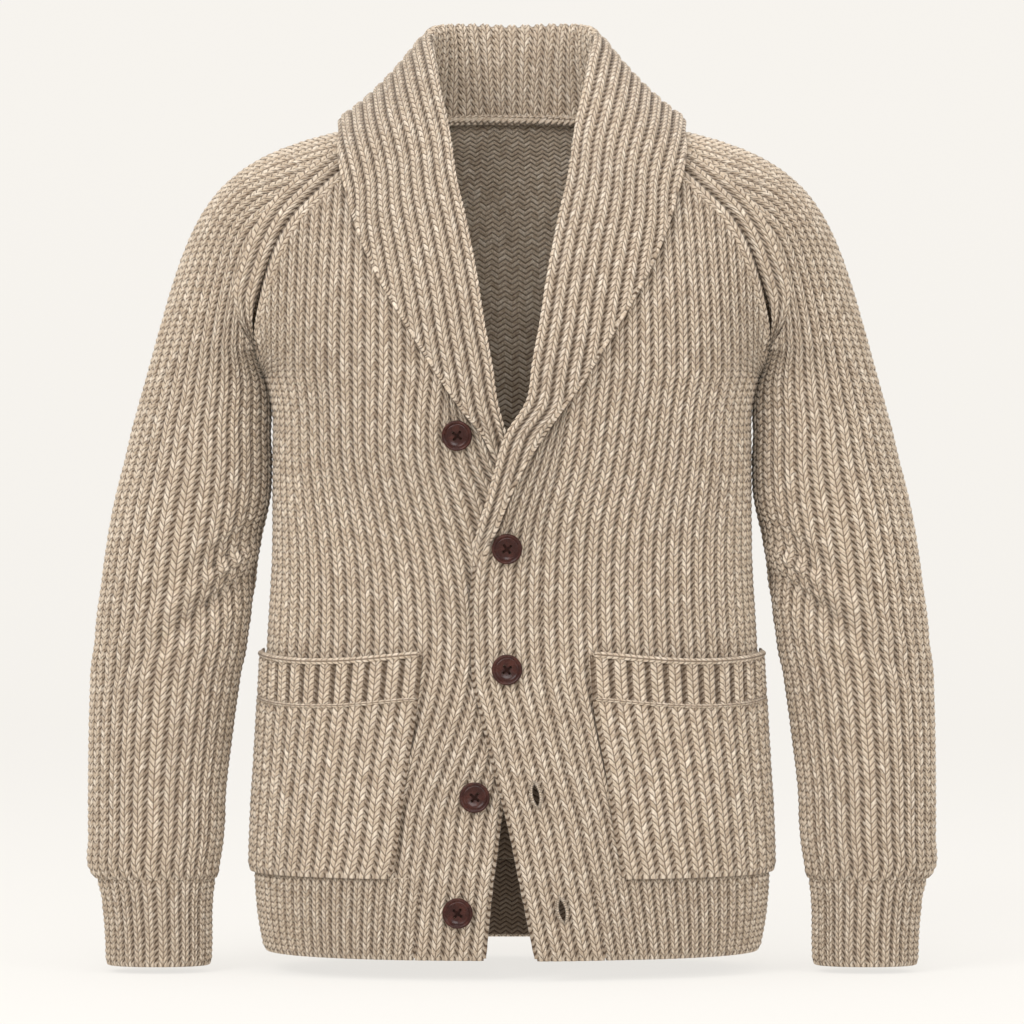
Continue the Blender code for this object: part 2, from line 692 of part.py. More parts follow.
def head_paths(f, rows):
    """Each column from the top of the plain sleeve to its end, at this many equal steps."""
    last = np.minimum(1, np.minimum(f, 1 - f) / LOOP_FRONT)
    high = head_points(f[None, :], last[None, :] * np.linspace(0, 1, 41)[:, None])
    z = SLEEVE_LOW_HEAD + (high[0, :, 2] - SLEEVE_LOW_HEAD) * np.linspace(0, 1, 21)[:-1, None]
    low = oval(SLEEVE, z, f[None, :])
    turn = ease(0, 1, np.linspace(0, 1, 21)[:-1])[:, None, None]
    low[..., :2] += turn * (high[0, :, :2] - oval(SLEEVE, high[0, :, 2], f)[:, :2])
    path = np.concatenate([low, high])
    run = np.concatenate([0 * f[None, :], np.cumsum(np.linalg.norm(np.diff(path, axis=0), axis=2), axis=0)])
    found = np.empty((rows, len(f), 3))
    for k in range(len(f)):
        at = np.linspace(0, run[-1, k], rows)
        for axis in range(3):
            found[:, k, axis] = np.interp(at, run[:, k], path[:, k, axis])
    return found


def sleeve_grid(count, lower, upper):
    """Base points and normals: rows at heights in lower, then at shares of each column's head in upper."""
    f = np.arange(count) / count
    z = np.asarray(lower, float)[:, None]
    low = oval(SLEEVE, z, f[None, :])
    low_normal = grid_normals(low, True)
    head = head_paths(f, 61)
    normal = grid_normals(head, True)
    half = f < 0.5
    share = np.minimum(f, 1 - f) / LOOP_FRONT
    away = np.where(half[:, None], raglan(np.clip(share, 0, 1), False)[2], raglan(np.clip(share, 0, 1), True)[2])
    facing = np.einsum("cx,cx->c", normal[30], head[30] - np.array((-270, 0, 0)) * np.array((1, 0, 0)) - head[30, :, 2:] * np.array((0, 0, 1)))
    turn = np.sign(facing.sum())
    normal = normal * turn
    low_normal = low_normal * turn
    leaning = np.einsum("cx,cx->c", normal[-1], away)
    behind = (leaning - np.clip(leaning, -0.45, 0))[:, None]
    q = np.clip((f - LOOP_FRONT) / (1 - 2 * LOOP_FRONT), 0, 1)
    over = unit(np.stack([-0.45 + 0 * q, -0.45 + 0.9 * q, 0.85 + 0 * q], -1))
    end_normal = np.where((share <= 1)[:, None], unit(normal[-1] - away * behind), over)
    at = np.asarray(upper, float) * 60
    i = np.minimum(at.astype(int), 59)
    t = (at - i)[:, None, None]
    high = head[i] * (1 - t) + head[i + 1] * t
    high_normal = unit(normal[i] * (1 - t) + normal[i + 1] * t)
    high_normal[-1] = end_normal
    base = np.concatenate([low, high])
    normal = np.concatenate([low_normal, high_normal])
    base = base - normal * elbow_creases(base[..., 0], base[..., 1], base[..., 2], f)[..., None]
    return base, normal


def make_sleeve(name, material, mirror):
    lower = (-641.6, -595, -525, -470, -447, -427, -408, -386, -335)
    upper = (0.2, 0.4, 0.58, 0.74, 0.88, 1.0)
    count = 2 * RIBS["sleeve"]
    base, normal = sleeve_grid(count, lower, upper)
    raised = RIB * np.broadcast_to(0.5 - 0.5 * np.cos(math.pi * np.arange(count)), base.shape[:2]).copy()
    raised[0] = 0.5
    f = np.arange(count) / count
    raised[-1] *= 0.5 * ease(0.04, 0.14, np.minimum(f, 1 - f))
    outer, inner = wall(base, normal, raised)
    shell(name, outer, inner, material, wrap=True, steps=(2, 3), mirror=mirror)


def make_cuff(name, material, mirror):
    z = np.array((-714, -710, -672, -642.4))
    count = 2 * RIBS["cuff"]
    f = np.arange(count) / count
    base = oval(CUFF, z[:, None], f[None, :])
    middle = spline(CUFF[:, 0], CUFF[:, (1, 3)], z)
    normal = unit(np.stack([(base[..., 0] - middle[:, None, 0]) / 45**2, (base[..., 1] - middle[:, None, 1]) / 30**2,
                            0 * base[..., 2]], -1))
    raised = RIB * np.broadcast_to(0.5 - 0.5 * np.cos(math.pi * np.arange(count)), base.shape[:2]).copy()
    raised[0] = 0.3
    outer, inner = wall(base, normal, raised)
    shell(name, outer, inner, material, wrap=True, steps=(3, 4), mirror=mirror)


# ---------------------------------------------------------------- collar


COLLAR_OVER = 8.0  # how far the fall's grooves lie above the body's
FOLD_OVER = 3.0
COLLAR_TURNS = 5  # station, from the middle of the back, where the ribs turn to run down the lapel
COLLAR_RIBS = 10  # across the fall of a lapel
COLLAR_BACK_RIBS = 24  # round the back of the neck, from turn to turn
LAPEL_STEPS = (0, 0.03, 0.065, 0.105, 0.15, 0.2, 0.26, 0.33, 0.41, 0.5, 0.6, 0.7, 0.8, 0.9, 1)  # from turn to point
LAPEL_ROUND = 6.5  # how far the fold rounds
LAPEL_BELLY = 0.09  # how full the part outside the fold is, as a share of its length


def lapel_stations(rows, top):
    """Drawn lapel rows as stations: seam, fold, outer edge, way out, rounding."""
    found = []
    for sx, sz, fx, fz, ox, oz in rows:
        points = []
        for px, pz, over in ((sx, sz, 0.0), (fx, fz, FOLD_OVER), (ox, oz, COLLAR_OVER)):
            x, z = drawn(px, pz, -122 if pz < -150 else np.interp(pz, (-150, 0), (-122, -60)))
            y = body_y(min(float(x), 0.0), z, False)
            normal = body_normal(min(float(x), -0.5), y, z)
            if top:
                y = y - overlap(x, z)
                normal = turned(normal, x, z)
            points.append(np.array((x, y, z)) + normal * over)
        found.append((*points, normal, LAPEL_ROUND, LAPEL_BELLY))
    return found


def collar_section(seam, fold, outer, out, radius, belly, w):
    """Points across the collar: w is 0 at the seam, 1 at the fold and 2 at the outer edge."""
    up = unit(fold - seam)
    seam = seam - out * 2.2 + up * 2.6
    reach = np.linalg.norm(fold - seam)
    fall = np.linalg.norm(outer - fold)
    radius = min(radius, 0.45 * fall, 0.8 * reach)
    stand = (seam, seam + up * reach * 0.45 - out * radius * 0.4, fold - out * radius, fold)
    drop = unit(outer - fold)
    hang = (fold, fold + out * radius, outer - drop * fall * 0.4 + out * fall * belly, outer)
    t = np.where(w <= 1, w, w - 1)[:, None]
    parts = [
        (1 - t) ** 3 * p[0] + 3 * (1 - t) ** 2 * t * p[1] + 3 * (1 - t) * t**2 * p[2] + t**3 * p[3]
        for p in (stand, hang)
    ]
    return np.where((w <= 1)[:, None], parts[0], parts[1])


def collar_stations():
    """Every collar station from the under front's point round the neck to the buttonhole front's."""
    back = [tuple(np.array(p, float) for p in row[:4]) + row[4:] for row in COLLAR_BACK]
    under = back + lapel_stations(LAPEL_UNDER, False)
    top = back + lapel_stations(LAPEL_TOP, True)
    turn = np.array((-1, 1, 1.0))
    every = under[::-1] + [tuple(p * turn for p in row[:4]) + row[4:] for row in top[1:]]
    table = np.array([np.concatenate([*row[:4], row[4:]]) for row in every])
    run = np.concatenate([[0], np.cumsum(np.linalg.norm(np.diff(table[:, 3:6], axis=0), axis=1))])
    middle = len(under) - 1
    return table, run, run[middle - COLLAR_TURNS], run[middle + COLLAR_TURNS]


def collar_points(across, at, table, run):
    found = spline(run, table, at)
    return np.array([collar_section(r[0:3], r[3:6], r[6:9], unit(r[9:12]), r[12], r[13], across) for r in found])


def make_collar(material):
    """A folded sheet in three stretches: ribs run along both lapels, and up and over the fold at the back."""
    table, run, turn_under, turn_top = collar_stations()
    across = np.concatenate([(0, 0.3, 0.6, 0.85), 1 + np.linspace(0, 1, 2 * COLLAR_RIBS + 1)])
    few = [0, 1, 2, 3, 4, 6, 8, 12, 16, 20, 24]
    fewest = [0, 2, 3, 4, 6, 8, 12, 16, 20, 24]
    low = len(LAPEL_STEPS) - 1
    high = low + 2 * COLLAR_BACK_RIBS
    steps = np.array(LAPEL_STEPS)
    at = np.concatenate([
        turn_under * (1 - steps[:0:-1]),
        np.linspace(turn_under, turn_top, 2 * COLLAR_BACK_RIBS + 1),
        turn_top + (run[-1] - turn_top) * steps[1:],
    ])
    base = collar_points(across, at, table, run)
    normal = grid_normals(base, False)
    if normal[(low + high) // 2, 0, 1] > 0:
        normal = -normal
    along_ribs = np.where(across >= 1, 0.5 - 0.5 * np.cos(2 * math.pi * COLLAR_RIBS * (across - 1)), 0.0)
    over_ribs = 0.5 - 0.5 * np.cos(math.pi * np.arange(high - low + 1))
    raised = np.broadcast_to(along_ribs, base.shape[:2]).copy()
    raised[low : high + 1] = over_ribs[:, None]
    raised[low] = raised[high] = 0
    raised[:, :2] *= 0.4
    outer, inner = wall(base, normal, RIB * raised)
    rows, columns = base.shape[:2]
    o = np.arange(rows * columns).reshape(rows, columns)
    stations = [*range(0, low - 4, 2), *range(low - 4, low), *range(low, high, 3), *range(high, high + 4),
                *range(high + 4, rows, 2)]
    n = rows * columns + np.arange(rows * columns).reshape(rows, columns)
    n = n[np.ix_(stations, fewest)]
    faces = []

    def quads(grid, flip):
        for a, b, c, d in np.stack([grid[:-1, :-1], grid[:-1, 1:], grid[1:, 1:], grid[1:, :-1]], -1).reshape(-1, 4):
            pair = ((a, b, c), (a, c, d))
            faces.extend([face[::-1] for face in pair] if flip else pair)

    quads(o[: low + 1], False)
    quads(o[low + 1 : high][:, few], False)
    quads(o[high:], False)
    zip_rim(list(o[low]), list(o[low + 1, few]), few, faces)
    turned_round = []
    zip_rim(list(o[high]), list(o[high - 1, few]), few, turned_round)
    quads(n, True)
    zip_rim(list(o[-1]), list(n[-1]), fewest, faces)
    zip_rim(list(o[0]), list(n[0]), fewest, turned_round)
    zip_rim(list(o[:, 0]), list(n[:, 0]), stations, faces)
    zip_rim(list(o[:, -1]), list(n[:, -1]), stations, turned_round)
    faces.extend(face[::-1] for face in turned_round)
    solid("collar", np.concatenate([outer.reshape(-1, 3), inner.reshape(-1, 3)]), faces, material)


def make_cord(material):
    q = np.linspace(0, 1, 21)
    path = along(((-66, 43, 9), (-48, 52, 10), (-25, 56, 11), (0, 57.5, 11), (25, 56, 11), (48, 52, 10), (66, 43, 9)), q)
    run = unit(np.gradient(path, axis=0))
    side = unit(np.cross(run, np.array((0, 0, 1.0))))
    up = np.cross(side, run)
    turn = 2 * math.pi * np.arange(7) / 7
    radius = 4.6 + 0.5 * np.cos(math.pi * np.arange(21))[:, None, None]
    ring = path[:, None] + radius * (np.cos(turn)[None, :, None] * side[:, None] + np.sin(turn)[None, :, None] * up[:, None])
    points = np.concatenate([ring.reshape(-1, 3), path[:1], path[-1:]])
    faces = []
    for i in range(20):
        for j in range(7):
            a, b, c, d = i * 7 + j, i * 7 + (j + 1) % 7, (i + 1) * 7 + (j + 1) % 7, (i + 1) * 7 + j
            faces += [(a, b, c), (a, c, d)]
    for j in range(7):
        faces += [(147, (j + 1) % 7, j), (148, 140 + j, 140 + (j + 1) % 7)]
    solid("neck_cord", points, faces, material)


# ---------------------------------------------------------------- pockets


POCKET_TOP = -449.0
WELT_LOW = -487.0


def pocket_grid(kind, z, ribs, start, out):
    """A pocket's points, out from the front's by the front's ribs and the pocket's own wall."""
    edge = FRONT.share_of(by_height(POCKET_EDGE[kind], 95))
    column = np.linspace(0, 1, 2 * ribs + 1)
    share = start + column * (edge(z) - start)
    base, normal = body_points(share, z, top=kind == "top")
    return base + normal * out[..., None], normal


def pocket_sag(column):
    return -7.0 * np.sin(math.pi * column) ** 1.2


def make_pocket(kind, name, material, welt_material):
    ribs = RIBS["pocket"]
    column = np.linspace(0, 1, 2 * ribs + 1)
    sides = np.array((BODY_LOW + 1.6, -615, -578, -530, WELT_LOW - SEAM / 2))[:, None]
    rise = ease(-560, WELT_LOW, sides)
    z = sides + pocket_sag(column) * rise
    lie = RIB + 0.7 + WALL
    out = lie + 1.2 * rise * np.sin(math.pi * column) ** 0.7
    out = out + 0 * z
    base, normal = pocket_grid(kind, z, ribs, 0.004, out)
    raised = RIB * np.broadcast_to(ridges(ribs, len(column)), z.shape).copy()
    raised[0] = 0.4
    outer, inner = wall(base, normal, raised)
    shell(name, outer, inner, material, steps=(2, 2), mirror=kind == "top")
    levels = np.array((WELT_LOW + SEAM / 2, -470, POCKET_TOP - 4, POCKET_TOP))[:, None]
    z = levels + pocket_sag(column)
    out = lie + 1.2 * np.sin(math.pi * column) ** 0.7 + 0.4 + 1.6 * ease(WELT_LOW, POCKET_TOP, levels)
    base, normal = pocket_grid(kind, z, ribs, 0.004, out + 0 * z)
    raised = 1.2 * RIB * np.broadcast_to(ridges(ribs, len(column)), z.shape).copy()
    raised[-1] = 0.3
    outer, inner = wall(base, normal, raised)
    shell(name.replace("pocket", "pocket_welt"), outer, inner, welt_material, steps=(2, 2), mirror=kind == "top")


# ---------------------------------------------------------------- buttons and buttonholes


def on_front(kind, x, z):
    """A point of a front and the way out of it, from its drawn place."""
    true_x, true_z = drawn(x, z, -128.0)
    flat = min(float(true_x), -0.5)
    y = float(body_y(flat, true_z, False))
    normal = body_normal(np.array(flat), np.array(y), np.array(float(true_z)))
    if kind == "top":
        y = y - float(overlap(true_x, true_z))
        normal = turned(normal, true_x, true_z)
    return np.array((float(true_x), y, float(true_z))), normal


def frame_at(normal):
    side = unit(np.cross(normal, np.array((0, 0, 1.0))))
    return side, np.cross(side, normal)


def make_button(name, kind, x, z, material):
    centre, normal = on_front(kind, x, z)
    side, up = frame_at(normal)
    centre = centre + normal * (RIB + (1.6 if name == "button_2" else 0.9))
    turns = 16
    angle = 2 * math.pi * np.arange(turns) / turns
    points = []
    for radius, height in BUTTON_PROFILE[1:-1]:
        ring = np.cos(angle)[:, None] * side + np.sin(angle)[:, None] * up
        points.append(centre + radius * ring + normal * height)
    count = len(points)
    points = np.concatenate([np.concatenate(points), [centre, centre + normal * BUTTON_PROFILE[-1][1]]])
    faces = []
    for i in range(count - 1):
        for j in range(turns):
            a, b = i * turns + j, i * turns + (j + 1) % turns
            faces += [(a, b, b + turns), (a, b + turns, a + turns)]
    low, high = count * turns, count * turns + 1
    for j in range(turns):
        faces.append((low, (j + 1) % turns, j))
        faces.append((high, (count - 1) * turns + j, (count - 1) * turns + (j + 1) % turns))
    solid(name, points, faces, material, mirror=kind == "top")


def cut_buttonhole(front, x, z, tilt, index):
    """A slit with round ends, cut through the band."""
    centre, normal = on_front("top", x, z)
    side, up = frame_at(normal)
    lean = math.radians(tilt)
    side, up = side * math.cos(lean) + up * math.sin(lean), up * math.cos(lean) - side * math.sin(lean)
    outline = []
    for k in range(16):
        angle = 2 * math.pi * k / 16
        stretch = 8.5 if math.sin(angle) > 0 else -8.5
        outline.append(side * 1.8 * math.cos(angle) + up * (1.8 * math.sin(angle) + stretch))
    points = [centre + p + normal * 12 for p in outline] + [centre + p - normal * 16 for p in outline]
    faces = [(0, k, k + 1) for k in range(1, 15)] + [(16, 17 + k, 16 + k) for k in range(1, 15)]
    for k in range(16):
        a, b = k, (k + 1) % 16
        faces += [(a, a + 16, b + 16), (a, b + 16, b)]
    cutter = solid("buttonhole_cutter_" + str(index), points, faces, front.data.materials[0], mirror=True)
    cutter.hide_render = True
    cutter.display_type = "WIRE"
    cut = front.modifiers.new("buttonhole_" + str(index), "BOOLEAN")
    cut.operation = "DIFFERENCE"
    cut.solver = "EXACT"
    cut.object = cutter


# ---------------------------------------------------------------- all of it


def main():
    for old in list(bpy.data.objects):
        bpy.data.objects.remove(old)
    knit = cloth("oatmeal_knit", (0.456, 0.367, 0.259), 0.9)
    rib = cloth("oatmeal_rib", (0.456, 0.367, 0.259), 0.9)
    horn = cloth("button_brown", (0.045, 0.012, 0.009), 0.3)
    make_back(knit, rib)
    for kind, side in (("under", "right"), ("top", "left")):
        make_front(kind, "front_" + side, knit)
        make_hem_front(kind, "hem_front_" + side, rib)
        make_pocket(kind, "pocket_" + side, knit, rib)
    make_band("under", "band_right", rib)
    top_band = make_band("top", "band_left", rib)
    for index, (x, z, tilt) in enumerate(BUTTONHOLES):
        cut_buttonhole(top_band, x, z, tilt, index + 1)
    make_sleeve("sleeve_right", knit, False)
    make_sleeve("sleeve_left", knit, True)
    make_cuff("cuff_right", rib, False)
    make_cuff("cuff_left", rib, True)
    make_collar(rib)
    make_cord(rib)
    for name, kind, x, z in BUTTONS:
        make_button(name, kind, x, z, horn)


main()
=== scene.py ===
"""Knits, sews and lights a shawl collar cardigan over its plain solids.

Sizes in the tables are in millimetres, in the same frame as the solids: +Z up, the front
faces -Y. Each front is drawn on the -X side and the buttonhole front is mirrored to +X.
"""

import math

import bpy
import numpy as np
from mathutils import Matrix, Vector
from mathutils.kdtree import KDTree


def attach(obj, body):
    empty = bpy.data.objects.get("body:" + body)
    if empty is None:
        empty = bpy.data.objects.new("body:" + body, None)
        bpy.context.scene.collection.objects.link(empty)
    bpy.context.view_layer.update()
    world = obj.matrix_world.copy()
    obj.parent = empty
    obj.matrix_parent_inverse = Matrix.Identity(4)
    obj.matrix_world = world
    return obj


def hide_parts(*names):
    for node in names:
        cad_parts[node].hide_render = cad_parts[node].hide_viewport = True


bl_info = {
    "name": "Shawl Collar Cardigan",
    "version": (1, 0, 0),
    "blender": (4, 5, 0),
    "location": "3D View > Sidebar > Cardigan",
    "description": "Knits the panels, ribs, collar, cord and buttons of a shawl collar cardigan",
    "category": "Object",
}

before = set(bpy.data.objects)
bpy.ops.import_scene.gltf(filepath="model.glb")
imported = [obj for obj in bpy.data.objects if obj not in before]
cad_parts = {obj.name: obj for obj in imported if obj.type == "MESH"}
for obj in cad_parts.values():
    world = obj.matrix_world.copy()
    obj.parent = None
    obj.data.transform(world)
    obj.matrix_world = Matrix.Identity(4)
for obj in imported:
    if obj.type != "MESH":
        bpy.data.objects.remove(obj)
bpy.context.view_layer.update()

MM = 0.001
WALL = 3.0  # knitted wall under the ribs
RIB = 1.6  # how far a rib stands out of its wall
SEAM = 0.8  # clear width of a seam between two pieces
ROUND = 2.4  # power of the body's oval sections: 2 is an ellipse
ARMHOLE_Z = -215.0
BODY_LOW = -636.0  # where the body meets the hem rib
HEM_LOW = -703.0
EYE_FAR = 4200.0  # tables marked "drawn" are widths and heights on the plane y = 0
EYE_Z = -330.0
RING_ABOUT = 520.0  # length of half a body ring, near enough for a seam's share of it
SIDE_GAP = 0.6  # how far a panel ends short of the middle of the body's side
FRONT_AT = 122.0  # how far in front of y = 0 the drawn lines of the fronts lie
# Body sections, a row each: height, half width, depth to the front, depth to the back
BODY = np.array(
    (
        (-716, 208, 119, 117),
        (-690, 214, 122, 120),
        (-661, 218, 123, 121),
        (-643, 219, 124, 121),
        (-588, 218, 122, 118),
        (-540, 215, 119, 114),
        (-492, 212, 116, 110),
        (-457, 209.5, 114.5, 107),
        (-432, 208, 114, 106),
        (-408, 206.5, 113.5, 106),
        (-372, 204.5, 114, 107),
        (-320, 204, 119, 113),
        (-283, 204, 123, 119),
        (-239, 205, 127, 125),
        (-215, 211, 128, 128),
        (-198, 221, 128, 129),
        (-180, 231, 127, 130),
        (-151, 239, 124, 130),
        (-126, 245, 118, 129),
        (-101, 251, 110, 125),
        (-79, 252, 101, 119),
        (-57, 238, 91, 111),
        (-35, 208, 80, 100),
        (-15, 167, 68, 87),
        (-2, 126, 60, 76),
        (12, 95, 52, 66),
    ),
    float,
)
# Raglan seams from the underarm to the neck: x, z
RAGLAN_FRONT = ((-211, -215), (-217, -198), (-219, -180), (-215, -151), (-208, -126), (-199, -101),
                (-187, -80), (-167, -59), (-144, -38), (-117, -19), (-90, -4))
RAGLAN_BACK = ((-211, -215), (-218, -197), (-222, -178), (-218, -150), (-211, -125), (-199, -98),
               (-180, -71), (-155, -46), (-125, -23), (-95, -5), (-62, 9))
NECK_SIDE = ((-90, -46, -4), (-97, -20, 2), (-98, 8, 6), (-87, 34, 8), (-62, 55, 9))
# Collar seam down each front, drawn: x, z. The rows below the collar are the free edge.
NECKLINE = ((-90, -4), (-89, -40), (-80, -88), (-66, -140), (-53, -190))
EDGE_TOP = ((-49, -192), (-33, -234), (-12, -266), (3, -297), (14, -325), (21, -345), (27, -362), (31.5, -377),
            (34, -398), (33.5, -452), (32, -478), (25, -506), (16, -545), (10, -569), (3.4, -593), (-3.4, -624),
            (-9.5, -656), (-15.5, -685), (-23, -722))
EDGE_UNDER = ((-49, -192), (-33, -234), (-14, -266), (-4, -288), (6, -303), (15, -316), (22, -335), (24, -361),
              (25, -455), (17, -503), (4, -545), (-9.5, -587), (-14, -621), (-18, -650), (-21, -679), (-25, -722))
BAND_TOP = ((-53, -192), (-48, -240), (-43, -277), (-38, -301), (-29, -337), (-26, -373), (-26, -452), (-28, -478),
            (-35, -506), (-44, -545), (-50, -569), (-57, -593), (-63, -624), (-69.5, -656), (-75, -685), (-82, -722))
BAND_UNDER = ((-53, -192), (-60, -240), (-60, -285), (-55, -309), (-49, -331), (-39, -373), (-34, -466), (-42, -503),
              (-56, -545), (-69.5, -587), (-74, -621), (-78, -650), (-81, -679), (-85, -722))
POCKET_EDGE = {
    "under": ((-76, -430), (-77, -447), (-81, -489), (-92, -562), (-98, -611), (-101, -630), (-107, -650)),
    "top": ((-66, -430), (-67, -449), (-70, -494), (-82, -561), (-88, -606), (-94, -638), (-97, -655)),
}
# How far the buttonhole front stands clear of the other one: height, clearance
OVERLAP = ((-720, 5), (-600, 7), (-400, 7.5), (-350, 10), (-318, 15), (-270, 15), (-225, 9), (-170, 2),
           (-120, 0), (20, 0))
# Sleeve sections: height, middle x, half width, middle y, half depth
SLEEVE = np.array(
    (
        (-642, -304, 51, -25, 35),
        (-632, -306, 54.5, -24, 38),
        (-612, -304.5, 56, -22, 40.5),
        (-564, -303.5, 57.5, -17, 43),
        (-528, -301.5, 59.5, -13, 45),
        (-492, -299, 61.5, -9, 47),
        (-468, -297, 63, -7, 49),
        (-444, -293, 64, -5, 51),
        (-420, -290.5, 64.5, -3, 53),
        (-395, -287, 64.5, -1, 55),
        (-371, -284, 64.5, 0, 57),
        (-320, -276.5, 63.5, 1, 60),
        (-285, -271, 61.5, 1, 60),
        (-255, -268, 59, 1, 60),
        (-228, -263.5, 56.5, 1, 60),
    ),
    float,
)
CUFF = np.array(
    (
        (-714, -301.5, 43.5, -28, 28),
        (-695, -301.5, 44, -27.5, 28.5),
        (-670, -302.5, 45, -26.5, 30),
        (-655, -303, 46.5, -26, 31.5),
        (-643, -304, 49, -25, 33.5),
    ),
    float,
)
RIBS = {"sleeve": 30, "cuff": 28, "front_top": 20, "front_under": 19, "band": 5, "back": 44, "hem_back": 52,
        "hem_front": 21, "pocket": 13}
# Collar stations from the middle of the back to the point: seam, fold and outer edge, then the way out
# at the fold, how far the fold rounds and how full the fall is. Fronts are drawn.
COLLAR_BACK = (
    ((0, 66, 11), (0, 76, 95), (0, 98, -12), (0, 1, 0), 10, 0.09),
    ((-32, 63, 10.5), (-38, 70, 95.5), (-52, 97, -12), (-0.2, 0.98, 0), 11, 0.09),
    ((-62, 55, 9.5), (-60, 53, 93), (-102, 86, -6), (-0.7, 0.7, 0), 11, 0.05),
    ((-87, 34, 8.5), (-70, 27, 87), (-133, 55, 4), (-0.94, 0.3, 0.0), 10, -0.05),
    ((-98, 8, 6.5), (-71, 3, 77), (-147, 12, 10), (-0.98, -0.05, 0.1), 9, -0.08),
    ((-97, -20, 2.5), (-67, -22, 58), (-147, -33, -3.5), (-0.9, -0.42, 0.1), 9, -0.04),
    ((-90, -46, -4), (-61.5, -43, 30), (-146, -71, -28), (-0.65, -0.74, 0.15), 9, 0.05),
)
# x at the seam, z at the seam, x and z at the fold, x and z at the outer edge, all drawn
LAPEL = (
    (-89, -40, -54, -3, -139, -61),
    (-85, -66, -49, -40, -130, -90),
    (-77, -100, -40, -81, -116, -122),
    (-66, -140, -31, -127, -96, -157),
    (-55, -176, -25, -166, -76, -189),
    (-42, -212, -18, -205, -57, -219),
    (-30, -238, -14, -234, -41, -242),
)
LAPEL_TOP = LAPEL + (
    (-12, -266, 5, -266, -25, -266),
    (2, -295, 14, -297, -8, -293),
    (13, -323, 22, -325, 6, -322),
    (20, -343, 28.5, -345, 14, -342),
    (26, -360, 33, -361, 21.5, -359),
    (30, -374, 35, -375, 26.5, -373),
)
LAPEL_UNDER = LAPEL + (
    (-14, -264, -6, -264, -24, -263),
    (-5, -286, 1, -287, -12, -285),
    (5, -302, 9.5, -304, 1, -301),
)
BUTTONS = (("button_1", "under", -47, -264), ("button_2", "top", 4.3, -361), ("button_3", "top", 4.3, -466),
           ("button_4", "under", -32, -576), ("button_5", "under", -46.5, -675))
BUTTONHOLES = ((-20.6, -573.5, 6.0), (-43, -672.5, 8.0))  # drawn x, z, and tilt in degrees


def spline(at, values, x):
    """A smooth curve through a table: values has a row for each place in at."""
    at = np.asarray(at, float)
    values = np.asarray(values, float)
    flat = values.ndim == 1
    if flat:
        values = values[:, None]
    slope = np.gradient(values, at, axis=0)
    x = np.clip(np.asarray(x, float), at[0], at[-1])
    i = np.clip(np.searchsorted(at, x, side="right") - 1, 0, len(at) - 2)
    step = at[i + 1] - at[i]
    t = ((x - at[i]) / step)[..., None]
    step = step[..., None]
    found = (
        (2 * t**3 - 3 * t**2 + 1) * values[i]
        + (t**3 - 2 * t**2 + t) * step * slope[i]
        + (3 * t**2 - 2 * t**3) * values[i + 1]
        + (t**3 - t**2) * step * slope[i + 1]
    )
    return found[..., 0] if flat else found


def lengths(grid):
    """How far down its own column each point of a grid lies. A line of points is one column."""
    steps = np.linalg.norm(np.diff(grid, axis=0), axis=-1)
    return np.concatenate([np.zeros_like(steps[:1]), np.cumsum(steps, axis=0)])


def along(points, share):
    """A point at this share of the way along a curve through points."""
    points = np.asarray(points, float)
    run = lengths(points)
    return spline(run / run[-1], points, share)


def unit(v):
    """Vectors brought to length 1."""
    return v / np.maximum(np.linalg.norm(v, axis=-1, keepdims=True), 1e-9)


def ease(low, high, x):
    """0 below low, 1 above high and smooth between."""
    t = np.clip((np.asarray(x, float) - low) / (high - low), 0, 1)
    return t * t * (3 - 2 * t)


def drawn(x, z, y):
    """A point drawn on the plane y = 0, brought to its own depth."""
    k = (EYE_FAR + np.asarray(y, float)) / EYE_FAR
    return np.asarray(x, float) * k, EYE_Z + (np.asarray(z, float) - EYE_Z) * k


def by_height(rows, depth):
    """A drawn line (x, z) as a function from height to x."""
    table = np.array(sorted(rows, key=lambda row: row[1]), float)
    x, z = drawn(table[:, 0], table[:, 1], -depth)
    return lambda height: spline(z, x, height)


def section(z):
    """Half width, front depth and back depth at a height."""
    found = spline(BODY[:, 0], BODY[:, 1:], z)
    return found[..., 0], found[..., 1], found[..., 2]


def body_y(x, z, back):
    """Depth of the body's oval at a place on its front or its back."""
    width, front, rear = section(z)
    depth = rear if back else -front
    return depth * np.maximum(1 - (np.abs(x) / width) ** ROUND, 0) ** (1 / ROUND)


def body_normal(x, y, z):
    """The way out of the body's oval at a point on it."""
    width, front, rear = section(z)
    up, front_up, rear_up = (section(z + 0.5)[k] - section(z - 0.5)[k] for k in range(3))
    depth = np.where(y > 0, rear, front)
    depth_up = np.where(y > 0, rear_up, front_up)
    across = np.abs(x) / width
    deep = np.abs(y) / depth
    return unit(
        np.stack(
            [
                np.sign(x) * across ** (ROUND - 1) / width,
                np.sign(y) * deep ** (ROUND - 1) / depth,
                -(across**ROUND) * up / width - deep**ROUND * depth_up / depth,
            ],
            -1,
        )
    )


